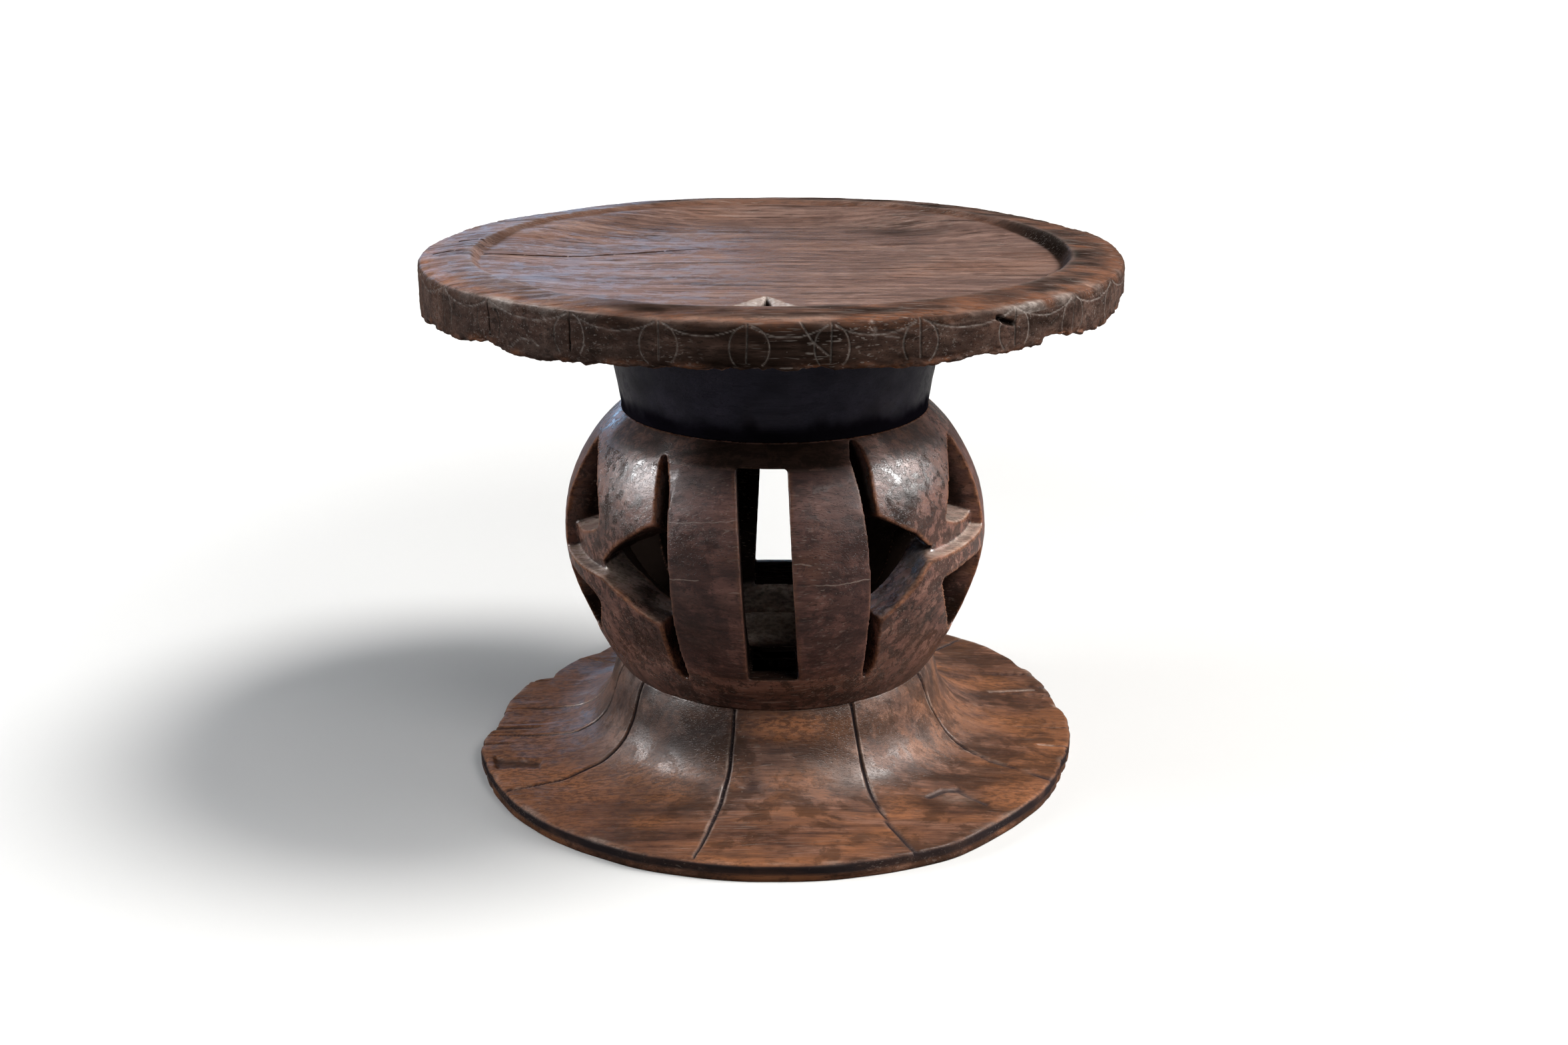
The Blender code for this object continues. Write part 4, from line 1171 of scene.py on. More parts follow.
# One carved quarter on the left and one on the right, repeated half a turn round the back.
# Outlines are (degrees from the front, height); a third number is how far a cut climbs inwards.
leftQuarter = {
    "ledge": 0.170,
    "sideEdge": 77.5,
    "recessStart": 29.5,
    "slitPlane": (33.5, 28.1),  # angle of the slit at the crown and at the cup
    "star": (
        (34.0, 0.2612), (32.8, 0.2573), (31.4, 0.2498), (30.5, 0.2419), (29.8, 0.2338), (29.2, 0.2255),
        (28.6, 0.2141), (27.8, 0.1990), (27.1, 0.1850), (26.8, 0.1737), (26.8, 0.1600), (26.9, 0.1413),
        (26.8, 0.1250), (26.6, 0.1098), (26.6, 0.1010), (27.5, 0.0995), (28.6, 0.1010), (29.7, 0.1079),
        (30.2, 0.1188), (30.4, 0.1287), (30.6, 0.1400), (30.8, 0.1454), (33.3, 0.1477), (36.7, 0.1516),
        (39.0, 0.1545), (41.8, 0.1600), (45.1, 0.1634), (47.9, 0.1667), (50.7, 0.1705), (52.5, 0.1725),
        (53.2, 0.1760), (48.7, 0.1894, -0.0066), (44.4, 0.1991, -0.0090), (39.4, 0.2086, -0.0115),
        (36.7, 0.2148, -0.0130), (33.2, 0.2198, -0.0140), (33.4, 0.2293), (33.7, 0.2378),
        (33.9, 0.2461), (34.5, 0.2541), (34.6, 0.2585),
    ),
    "upperOpening": (
        (77.5, 0.1865, 0.0075), (67.5, 0.1885, 0.0075), (60.9, 0.1948, 0.0070), (57.0, 0.1998, 0.0060),
        (56.9, 0.2096), (58.8, 0.2212), (63.7, 0.2370), (69.3, 0.2460), (77.5, 0.2532),
    ),
    "lowerOpening": (
        (77.5, 0.1610), (63.6, 0.1554), (58.0, 0.1523), (55.6, 0.1483), (55.4, 0.1447), (57.0, 0.1380),
        (60.5, 0.1264), (66.3, 0.1126), (72.0, 0.1075), (77.5, 0.1070),
    ),
}
rightQuarter = {
    "ledge": 0.1875,
    "sideEdge": 76.5,
    "recessStart": 26.8,
    "slitPlane": (26.4, 27.8),
    "star": (
        (26.0, 0.2710), (25.0, 0.2650), (24.4, 0.2607), (24.6, 0.2464), (24.6, 0.2256), (24.7, 0.2146),
        (24.6, 0.2025), (24.7, 0.1829), (24.9, 0.1690), (25.2, 0.1540), (25.4, 0.1422), (25.9, 0.1273),
        (26.4, 0.1142), (26.8, 0.1035), (27.3, 0.0995), (28.2, 0.1020), (29.1, 0.1109), (29.2, 0.1194),
        (28.7, 0.1323), (28.5, 0.1420), (28.5, 0.1508), (31.8, 0.1578), (34.4, 0.1637), (36.8, 0.1694),
        (38.9, 0.1745), (41.1, 0.1806), (43.0, 0.1860), (44.5, 0.1885), (47.5, 0.1905), (45.4, 0.1930),
        (42.4, 0.2007, -0.0030), (40.2, 0.2068, -0.0042), (36.9, 0.2121, -0.0052),
        (33.3, 0.2184, -0.0062), (30.5, 0.2234, -0.0072), (28.6, 0.2270, -0.0076), (28.5, 0.2310),
        (28.2, 0.2359), (28.3, 0.2464), (28.5, 0.2537), (28.3, 0.2614), (28.0, 0.2669), (27.2, 0.2706),
    ),
    "upperOpening": (
        (76.5, 0.1960, 0.0055), (68.4, 0.1965, 0.0055), (60.7, 0.2005, 0.0050), (55.6, 0.2060, 0.0040),
        (56.6, 0.2133), (57.7, 0.2194), (60.3, 0.2310), (64.3, 0.2416), (68.2, 0.2491), (76.5, 0.2568),
    ),
    "lowerOpening": (
        (76.5, 0.1715), (69.0, 0.1712), (61.0, 0.1727), (53.7, 0.1711), (49.5, 0.1695), (49.1, 0.1668),
        (51.0, 0.1563), (55.7, 0.1389), (61.2, 0.1241), (66.1, 0.1136), (72.0, 0.1075), (76.5, 0.1070),
    ),
}
quarters = (
    ("front_left", leftQuarter, -1, 0.0),
    ("front_right", rightQuarter, 1, 0.0),
    ("back_right", leftQuarter, -1, 180.0),
    ("back_left", rightQuarter, 1, 180.0),
)


def bulge(share, middle, end, power):
    return middle * (1.0 - share**power * (1.0 - (end / middle) ** power)) ** (1.0 / power)


def globeRadius(z):
    if z >= globe["equator"]:
        share = (z - globe["equator"]) / (globe["crownTop"] - globe["equator"])
        return bulge(min(share, 1.0), globe["radius"], globe["headRadius"], globe["upperBulge"])
    share = (globe["equator"] - z) / (globe["equator"] - globe["cupBottom"])
    return bulge(min(share, 1.0), globe["radius"], globe["footRadius"], globe["lowerBulge"])


def hollowRadius(z):
    middle = (globe["cupTop"] + globe["crownBottom"]) / 2
    share = min(abs(z - middle) / (globe["crownBottom"] - middle), 1.0)
    return bulge(share, globe["hollowRadius"], globe["hollowEnd"], 2.0)


def panelRadius(z, ledge):
    share = min(max((globe["crownBottom"] - z) / (globe["crownBottom"] - ledge), 0.0), 1.0)
    return globeRadius(z) - globe["panelStep"] * share ** globe["panelEase"]


def denser(outline, step):
    # the outline with extra points, no further apart than step (metres along the globe)
    outline = [(*point, 0.0)[:3] for point in outline]
    points = []
    for (a0, z0, c0), (a1, z1, c1) in zip(outline, outline[1:] + outline[:1]):
        length = math.hypot(math.radians(a1 - a0) * globe["radius"], z1 - z0)
        count = max(1, math.ceil(length / step))
        for t in (k / count for k in range(count)):
            points.append((a0 + (a1 - a0) * t, z0 + (z1 - z0) * t, c0 + (c1 - c0) * t))
    return points


def addPrism(shape, outline, side, halfTurn, spread=0.0):
    # a block with the given outline, from inside the hollow to outside the globe
    innerShare, outerShare, layers = globe["prism"]
    inner, outer = globe["hollowEnd"] * innerShare, globe["radius"] * outerShare
    outline = denser(outline, globe["outlineStep"])
    near, far = min(p[0] for p in outline), max(p[0] for p in outline)
    flat = bmesh.new()
    rings = []
    for k in range(layers + 1):
        depth = inner + (outer - inner) * k / layers
        inwards = min(max((globe["radius"] - globe["cutSkin"] - depth) / globe["wall"], 0.0), 1.4)
        ring = []
        for a, z, climb in outline:
            aside = spread * inwards * (a - near) / (far - near)
            ring.append(flat.verts.new((math.radians(a + aside), z + climb * inwards, depth)))
        rings.append(ring)
    count = len(outline)
    for low, high in zip(rings[:-1], rings[1:]):
        for j in range(count):
            flat.faces.new((low[j], low[(j + 1) % count], high[(j + 1) % count], high[j]))
    flat.faces.new(rings[0])
    flat.faces.new(rings[-1])
    bmesh.ops.triangulate(flat, faces=flat.faces)
    for vert in flat.verts:
        a, z, depth = vert.co
        turn = side * a + math.radians(halfTurn)
        vert.co = (depth * math.sin(turn), -depth * math.cos(turn), z)
    addCopy(shape, flat)


def addCopy(shape, other):
    # pours another closed bmesh into this one, facing outwards, and frees it
    bmesh.ops.recalc_face_normals(other, faces=other.faces)
    if other.calc_volume(signed=True) < 0:
        bmesh.ops.reverse_faces(other, faces=other.faces)
    mesh = bpy.data.meshes.new("part")
    other.to_mesh(mesh)
    shape.from_mesh(mesh)
    bpy.data.meshes.remove(mesh)
    other.free()


def addWindow(shape, halfTurn, sill):
    # leaning block between a pair of ribs, from the hollow outwards
    wide, reach = globe["windowWide"] / 2, globe["radius"] * 1.1
    lean = math.tan(math.radians(globe["windowLean"]))
    middle = (globe["cupTop"] + globe["crownBottom"]) / 2
    cosine, sine = math.cos(math.radians(halfTurn)), math.sin(math.radians(halfTurn))
    block = bmesh.new()
    corners = []
    for z in (sill, globe["crownBottom"]):
        for x, y in ((-wide, -reach), (wide, -reach), (wide, -0.02), (-wide, -0.02)):
            x = x + globe["windowShift"] - lean * (z - middle)
            corners.append(block.verts.new((x * cosine - y * sine, x * sine + y * cosine, z)))
    for face in ((0, 3, 2, 1), (4, 5, 6, 7), (0, 1, 5, 4), (1, 2, 6, 5), (2, 3, 7, 6), (3, 0, 4, 7)):
        block.faces.new([corners[k] for k in face])
    addCopy(shape, block)


def addRecess(shape, quarter, side, halfTurn):
    # what is cut off in front of an upper panel, down to the ledge
    low, high = quarter["ledge"], globe["crownBottom"]
    turns = np.linspace(quarter["recessStart"], quarter["sideEdge"], 15)
    heights = np.linspace(low, high, 21)
    block = bmesh.new()
    skins = []
    for outside in (False, True):
        skin = []
        for z in heights:
            r = globe["radius"] * 1.08 if outside else panelRadius(z, low) - 0.00005
            row = [math.radians(side * a + halfTurn) for a in turns]
            skin.append([block.verts.new((r * math.sin(t), -r * math.cos(t), z)) for t in row])
        skins.append(skin)
    inside, outside = skins
    rows, columns = len(heights), len(turns)
    for skin in skins:
        for i in range(rows - 1):
            for j in range(columns - 1):
                block.faces.new((skin[i][j], skin[i][j + 1], skin[i + 1][j + 1], skin[i + 1][j]))
    for i in range(rows - 1):
        for j in (0, columns - 1):
            block.faces.new((inside[i][j], inside[i + 1][j], outside[i + 1][j], outside[i][j]))
    for j in range(columns - 1):
        for i in (0, rows - 1):
            block.faces.new((inside[i][j], inside[i][j + 1], outside[i][j + 1], outside[i][j]))
    addCopy(shape, block)


def objectFrom(shape, name):
    mesh = bpy.data.meshes.new(name)
    shape.to_mesh(mesh)
    shape.free()
    made = bpy.data.objects.new(name, mesh)
    bpy.context.scene.collection.objects.link(made)
    return made


def turnedObject(name, rows, turns):
    angle, radius, height, faceGroups = spinRows([(r, z, 1) for r, z in rows], turns)
    mesh = meshFromArrays(name, onAxis(angle, radius, height), faceGroups)
    shape = bmesh.new()
    shape.from_mesh(mesh)
    bpy.data.meshes.remove(mesh)
    return objectFrom(shape, name)


def roughGlobe():
    # turned ball with its hollow, minus the openings, minus the recesses, as one even mesh
    turns = evenTurns(globe["turns"])
    top, bottom, cupTop, crown = (globe[k] for k in ("crownTop", "cupBottom", "cupTop", "crownBottom"))
    skin = [(globeRadius(z), z) for z in np.linspace(top, bottom, globe["ballRows"])]
    made = turnedObject("roughGlobe", [(0.0, top), *skin, (0.0, bottom)], turns)
    inside = [(hollowRadius(z), z) for z in np.linspace(crown, cupTop, globe["hollowRows"])]
    well, below, (flare, drop) = globe["wellRadius"], bottom - globe["wellPast"], globe["wellFlare"]
    inside += [(well + flare, cupTop - drop), (well, below), (0.0, below)]
    openings, recesses = bmesh.new(), bmesh.new()
    addWindow(openings, 0.0, globe["frontSill"])
    addWindow(openings, 180.0, globe["backSill"])
    for _, quarter, side, halfTurn in quarters:
        addPrism(openings, quarter["star"], side, halfTurn, globe["starSpread"])
        addPrism(openings, quarter["upperOpening"], side, halfTurn)
        addPrism(openings, quarter["lowerOpening"], side, halfTurn)
        addRecess(recesses, quarter, side, halfTurn)
    cutters = [turnedObject("hollow", [(0.0, crown), *inside], turns[::2])]
    cutters += [objectFrom(openings, "openings"), objectFrom(recesses, "recesses")]
    for cutter in cutters:
        cut = made.modifiers.new(cutter.name, "BOOLEAN")
        cut.operation = "DIFFERENCE"
        cut.solver = "EXACT"
        cut.object = cutter
    even = made.modifiers.new("even", "REMESH")
    even.mode = "VOXEL"
    even.voxel_size = globe["grid"]
    even.use_smooth_shade = True
    mesh = bpy.data.meshes.new_from_object(made.evaluated_get(bpy.context.evaluated_depsgraph_get()))
    for used in [made, *cutters]:
        bpy.data.objects.remove(used)
    return mesh


def finishGlobe(mesh):
    # softens the cut edges and adds tool marks and nicks, then paints wear, painted light and painted shade
    # on the surface
    points, pairs = readPoints(mesh), edgePairs(mesh)
    for _ in range(globe["relaxPasses"]):
        points = points + globe["relaxWeight"] * (neighbourMean(points, pairs) - points)
    writePoints(mesh, points)
    normals, bend = readNormals(mesh), edgeBend(mesh, 1)
    reach, height = np.hypot(points[:, 0], points[:, 1]), points[:, 2]
    levels = np.linspace(0.07, 0.28, 400)
    gap = np.interp(height, levels, [globeRadius(z) for z in levels]) - reach  # below the round surface
    facing = np.sum(normals[:, :2] * points[:, :2], 1) / np.maximum(reach, 0.001)  # 1 outwards, -1 inwards
    skin, inner = smoothStep(*globe["facing"], facing), smoothStep(*globe["facing"], -facing)
    move = globe["skinMarks"] * layeredNoise(points, (0.045, 0.030, 0.030), 201, 2) * skin
    move += globe["hollowMarks"] * layeredNoise(points, (0.034, 0.026, 0.026), 205, 2) * inner
    move += globe["fibreDeep"] * softNoise(points, (0.030, 0.004, 0.004), 209)
    wide = bend.copy()
    for _ in range(5):
        wide = neighbourMean(wide, pairs)
    edge = smoothStep(0.35, 1.0, bend / globe["edgeBend"])
    nick = np.clip(softNoise(points, 0.010, 211) - 0.2, 0.0, 1.0) * edge
    writePoints(mesh, points + normals * (move - globe["nickDeep"] * nick)[:, None])
    wearGlobe(mesh, points, normals[:, 2], gap, skin, inner, edge, wide / globe["edgeBend"])


def wearGlobe(mesh, points, up, gap, skin, inner, edge, bend):
    # pale, dark and raw places, painted on the mesh
    x, y, height = points.T
    turn = np.degrees(np.arctan2(np.abs(x), np.abs(y)))  # from the front or the back
    cut = 1.0 - skin - inner
    patchy, streak = layeredNoise(points, 0.012, 221, 3), layeredNoise(points, (0.02, 0.006, 0.006), 225, 3)
    rubbed = smoothStep(0.06, 0.30, bend) * (0.35 + 0.65 * smoothStep(*globe["rubbedTurn"], turn))
    warm = edge * noisy(0.65, -0.3, patchy, 0.0, 0.85)
    warm = np.maximum(warm, rubbed * noisy(0.75, 0.5, patchy, 0.0, 1.0))
    warm += cut * (1.0 - smoothStep(0.004, 0.014, gap)) * noisy(0.25, 0.5, streak, 0.0, 0.8)
    # upward-facing ledges and shelves are painted pale; the sloping floor of each star and the back wall of
    # the well get painted light
    shelf = smoothStep(0.45, 0.75, up) * smoothStep(*globe["shelfTurn"], turn)
    shelf = shelf * inRange(height, globe["shelfHigh"])
    floor = smoothStep(0.25, 0.60, up) * hump(turn, globe["starTurn"])
    floor = floor * inRange(height, globe["starHigh"]) * cut * (y < 0.0)
    well = smoothStep(*globe["wellFrom"], height) * (y > 0.0) * (np.abs(x) < globe["wellWide"])
    pale = edge * noisy(-0.18, 0.6, patchy, 0.0, 0.40) + shelf * noisy(0.62, 0.30, streak, 0.0, 0.9)
    pale += floor * noisy(0.20, 0.25, streak, 0.0, 0.5) + well * inner * noisy(0.85, 0.4, streak, 0.0, 1.0)
    # grime and painted shade in inner corners, painted shade in the hollow and deep in the cuts
    hollow = np.maximum(inner, smoothStep(0.045, 0.055, gap)) * (0.95 - 0.90 * well)
    deep = cut * smoothStep(0.003, 0.020, gap) * 0.90
    dark = np.maximum(np.maximum(smoothStep(0.12, 0.7, -bend) * 0.75, hollow), deep)
    dark = dark * (1.0 - 0.9 * shelf) * (1.0 - 0.85 * floor)
    sill = smoothStep(0.4, 0.7, up) * (height < globe["sillHigh"]) * (np.abs(x) < globe["sillWide"])
    behind = cut * smoothStep(0.0, 0.02, y) * smoothStep(0.002, 0.010, gap)
    lower = cut * smoothStep(*globe["lowerFrom"], height) * smoothStep(*globe["lowerTurn"], turn)
    crown = smoothStep(*globe["crownFrom"], height) * (1.0 - smoothStep(*globe["crownTurn"], turn))
    brow = smoothStep(*globe["browFrom"], height) * hump(turn, globe["browTurn"])
    waist = bell(height, *globe["waist"]) * (1.0 - smoothStep(*globe["waistTurn"], turn))
    under = smoothStep(*globe["underFrom"], height)
    # painted shade: the lower cut faces at the sides, the sills, the cut faces at the back, the crown under
    # the neck and its brow, and the bottom of the ball; also a darker band across the front ribs at mid
    # height
    for shade, amount in (
        (lower, 0.85), (sill, 0.9 - 0.9 * well), (behind, 1.0 - 0.9 * shelf), (crown * skin, 0.94),
        (brow * skin, 0.66), (waist * skin, 0.32), (under * skin, 0.45),
    ):
        dark = np.maximum(dark, shade * amount)
    paintPoints(mesh, pale=pale, dark=dark, warm=warm, dull=np.maximum(edge, rubbed) * 0.85)


def parted(shape, place, facing):
    # cuts a closed form with a plane; returns the part behind it and the part it faces, both closed
    halves = []
    for keepFront in (False, True):
        half = shape.copy()
        geometry = half.verts[:] + half.edges[:] + half.faces[:]
        cut = bmesh.ops.bisect_plane(
            half, geom=geometry, dist=0.000001, plane_co=place, plane_no=facing,
            clear_outer=not keepFront, clear_inner=keepFront,
        )
        rim = [item for item in cut["geom_cut"] if isinstance(item, bmesh.types.BMEdge)]
        caps = bmesh.ops.holes_fill(half, edges=rim, sides=0)["faces"]
        for edge in rim:
            if edge.is_valid:
                edge.smooth = False
        bmesh.ops.triangulate(half, faces=caps)
        halves.append(half)
    shape.free()
    return halves


def radialPlane(topDegrees, lowDegrees):
    # an upright plane through the wall that follows a slit from the crown down to the cup
    high, low = globe["crownBottom"], globe["cupTop"]
    points = []
    for degrees, z in ((topDegrees, high), (lowDegrees, low)):
        turn, r = math.radians(degrees), globeRadius(z)
        points.append(Vector((r * math.sin(turn), -r * math.cos(turn), z)))
    middle = math.radians((topDegrees + lowDegrees) / 2)
    outwards = Vector((math.sin(middle), -math.cos(middle), 0.0))
    facing = outwards.cross(points[0] - points[1])
    if facing.dot(Vector((math.cos(middle), math.sin(middle), 0.0))) < 0:
        facing = -facing  # always towards growing angles
    return points[0], facing.normalized()


def sectorCuts():
    # planes round the globe in order of angle, each with the sector that follows it
    rise = (globe["crownBottom"] - globe["cupTop"]) / 2
    tilt = math.degrees(math.tan(math.radians(globe["windowLean"])) * rise / globe["wallMiddle"])
    shift = math.degrees(globe["windowShift"] / globe["wallMiddle"])
    window = (shift - tilt, shift + tilt)
    slitA, slitB = leftQuarter["slitPlane"], rightQuarter["slitPlane"]
    sideA, sideB = (leftQuarter["sideEdge"],) * 2, (rightQuarter["sideEdge"],) * 2
    order = (
        (0, 1, window, "front_right_rib"),
        (0, 1, slitB, "front_right"),
        (0, 1, sideB, "right_side_rib"),
        (180, -1, sideA, "back_right"),
        (180, -1, slitA, "back_right_rib"),
        (180, 1, window, "back_left_rib"),
        (180, 1, slitB, "back_left"),
        (180, 1, sideB, "left_side_rib"),
        (360, -1, sideA, "front_left"),
        (360, -1, slitA, "front_left_rib"),
    )
    return [([start + side * degrees for degrees in plane], name) for start, side, plane, name in order]


def partGlobe(mesh):
    # the crown, the cup and the ribs and panels between them
    whole = bmesh.new()
    whole.from_mesh(mesh)
    down, up = Vector((0, 0, -1)), Vector((0, 0, 1))
    parts = {}
    middle, parts["globe_crown"] = parted(whole, up * (globe["crownBottom"] - globe["cutLift"]), up)
    middle, parts["globe_cup"] = parted(middle, up * (globe["cupTop"] + globe["cutLift"]), down)
    left, right = parted(middle, Vector((0, 0, 0)), Vector((1, 0, 0)))
    cuts = sectorCuts()
    sectors = {}
    # the windows are open, so the halves part there on their own
    for rest, start, stop in ((right, 0, 5), (left, 5, 10)):
        for plane, name in reversed(cuts[start + 1:stop]):
            rest, sectors[name] = parted(rest, *radialPlane(*plane))
        sectors[cuts[start][1]] = rest
    ledges = {label: quarter["ledge"] for label, quarter, _, _ in quarters}
    for name, shape in sectors.items():
        if name in ledges:
            place = up * (ledges[name] + globe["ledgeLift"])
            parts[f"{name}_lower_panel"], parts[f"{name}_upper_panel"] = parted(shape, place, up)
        else:
            parts[name] = shape
    return parts


def buildGlobe():
    mesh = roughGlobe()
    print("globe cut,", len(mesh.polygons), "faces")
    finishGlobe(mesh)
    panelLook = {**baseLook, **globe["panelLook"]}
    panelWood = woodFinish("globePatina", panelLook)
    ribWood = woodFinish("ribPatina", {**panelLook, **globe["ribLook"]})
    for node, shape in partGlobe(mesh).items():
        made = bpy.data.meshes.new(node)
        shape.to_mesh(made)
        shape.free()
        made.update()
        wood, slot = (ribWood, "rib_wood") if node.endswith("_rib") else (panelWood, "globe_wood")
        addPiece("carved_" + node, made, wood, node)
    bpy.data.meshes.remove(mesh)


buildGlobe()
print("globe built")

# Foot: a trumpet that flares into a thin plate, scored with long grooves
foot = {
    "high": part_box("globe_cup")[0].z,
    # radius and height down the trumpet, then out over the plate
    "profile": (
        (0.1200, 0.0750), (0.1222, 0.0720), (0.1250, 0.0630), (0.1300, 0.0465), (0.1360, 0.0350),
        (0.1450, 0.0255), (0.1600, 0.0185), (0.1870, 0.0148), (0.2100, 0.0138), (0.2270, 0.0130),
    ),
    "wellRadius": 0.0690,
    "wellFloor": 0.0480,
    "gouge": ((-0.2126, -0.0699), (-0.2095, -0.0898), (-0.1729, -0.0924), (-0.1746, -0.0794)),
    "plate": 0.2308,
    "edge": 0.0130,
    "edgeRound": 0.0030,
    # each groove runs down and out: (radius, degrees)
    "grooves": (
        ((0.12, -54.6), (0.19, -54.8), (0.23, -57.4)),
        ((0.12, -13.8), (0.23, -13.8)),
        ((0.12, 27.8), (0.135, 27.7), (0.15, 26.5), (0.17, 25.3), (0.195, 24.3), (0.23, 24.2)),
        ((0.12, 64.2), (0.135, 66.8), (0.15, 65.6), (0.175, 63.5), (0.23, 62.2)),
        ((0.12, -74.0), (0.158, -75.6), (0.185, -79.0), (0.207, -80.4), (0.23, -81.8)),
        ((0.12, -91.0), (0.145, -92.3), (0.173, -94.3), (0.23, -94.3)),
        ((0.12, 134.0), (0.16, 133.0), (0.23, 135.0)),
        ((0.12, 158.0), (0.23, 155.0)),
        ((0.12, -163.0), (0.17, -165.0), (0.23, -164.0)),
        ((0.12, -128.0), (0.23, -126.0)),
    ),
    "grooveWide": 0.0014,
    "grooveDeep": 0.0022,
    # worn outline of the plate: (degrees, radius)
    "rim": (
        (-180, 0.2300), (-150, 0.2285), (-141, 0.2170), (-135, 0.2062), (-131, 0.2035), (-125, 0.2078),
        (-119, 0.2080), (-115.5, 0.2060), (-113, 0.2032), (-111.5, 0.2100), (-109, 0.2165),
        (-103, 0.2186), (-99, 0.2200), (-94, 0.2180), (-91, 0.2184), (-86, 0.2200), (-84.5, 0.2240),
        (-82, 0.2272), (-79.5, 0.2300), (-76, 0.2322), (-70, 0.2316), (-60, 0.2335), (-48, 0.2342),
        (-36, 0.2342), (-24, 0.2332), (-12, 0.2322), (0, 0.2316), (12, 0.2320), (24, 0.2336),
        (34, 0.2344), (42, 0.2326), (50, 0.2310), (60, 0.2302), (72, 0.2296), (80, 0.2306),
        (88, 0.2316), (93, 0.2304), (96, 0.2280), (99, 0.2292), (106, 0.2330), (114, 0.2348),
        (117, 0.2328), (120, 0.2350), (128, 0.2350), (138, 0.2326), (150, 0.2310), (180, 0.2300),
    ),
    # breaks along the grain at the end-grain rims: (side, y, length, half width, depth)
    "splits": (
        (-1, 0.071, 0.034, 0.0011, 0.0030), (-1, 0.036, 0.028, 0.0009, 0.0022),
        (-1, -0.020, 0.052, 0.0022, 0.0028), (-1, -0.0275, 0.040, 0.0011, 0.0034),
        (-1, -0.048, 0.026, 0.0010, 0.0026), (-1, 0.010, 0.022, 0.0008, 0.0018),
        (1, 0.084, 0.045, 0.0012, 0.0026), (1, 0.043, 0.050, 0.0007, 0.0020),
        (1, -0.020, 0.050, 0.0006, 0.0022), (1, 0.061, 0.020, 0.0009, 0.0022),
        (1, -0.052, 0.022, 0.0008, 0.0018),
    ),
    # mesh: finer beside the grooves and at the end grain; finest and widest step, largest stride
    "grooveReach": 1.6,
    "fineSpots": ((-92.0, 24.0), (82.0, 14.0)),
    "turnSteps": (0.22, 0.75, 4),
    "profileRows": 96,
    "profileRounds": 14,
    "bottomRows": ((0.20, 2), (0.12, 4), (0.0, 1)),  # radius and stride
    "bottomRound": 0.0006,
    "wornFrom": 0.150,
    "plainBelow": 0.004,  # nothing is carved below this height or inside this radius
    "plainInside": 0.115,
    "column": (0.150, 0.124),
    "flatFrom": (0.150, 0.190),
    "rimRagged": 0.0014,
    "rimWobble": 0.0008,
    "grooveFade": (0.2220, 0.2300),
    "lipWide": 0.0008,
    "waveDeep": 0.0008,
    "fibreDeep": 0.00022,
    "gougeDeep": 0.0024,
    # a knot and a worn spot in front: x, y, reach, depth, darkness, paleness
    "knots": ((-0.0156, -0.1440, 0.0085, 0.0018, 0.75, 0.0), (0.1310, -0.1385, 0.0120, 0.0010, 0.0, 0.16)),
    # scars: path, width, depth, darkness, paleness, and how they wander: reach, cell and seed
    "scars": (
        (
            ((0.1104, -0.1400), (0.1228, -0.1304), (0.1333, -0.1274), (0.1423, -0.1398), (0.1518, -0.1463)),
            0.0030, 0.0018, 0.95, 0.0, (0.0008, 0.005, 343),
        ),
        (((0.1744, 0.0424), (0.2124, 0.0535)), 0.0020, 0.0010, 0.0, 0.5, (0.0005, 0.004, 347)),
        (((0.2027, -0.0505), (0.2135, -0.0517)), 0.0020, 0.0010, 0.0, 0.5, (0.0005, 0.004, 347)),
    ),
    # soot and warm wood on the front of the trumpet: x and height, each with its reach
    "darkening": ((0.0105, 0.024), (0.0480, 0.0032)),
    "glow": ((0.010, 0.026), (0.0640, 0.0090)),
    "edgeBand": (0.0040, 0.0065, 0.0108, 0.0124),  # dark band round the edge, by height
    "edgeInside": 0.2290,
    "edgeTop": 0.0100,
    "rimTop": (0.2285, 0.0018),
    "look": {
        "deep": (0.042, 0.018, 0.011),
        "mid": (0.104, 0.045, 0.026),
        "light": (0.190, 0.095, 0.062),
        "warm": (0.210, 0.082, 0.034),
        "warmShare": 0.6,
        "grimeAndShade": (0.026, 0.020, 0.021),
        "gloss": 0.29,
        "streakShare": 0.35,
        "raw": (0.330, 0.130, 0.055),
        "roughness": (0.38, 0.60),
        "scuffShare": 0.14,
        "smoke": (0.036, 0.018, 0.011),
        "smokeShare": 0.6,
        "flecks": 42.0,
    },
}


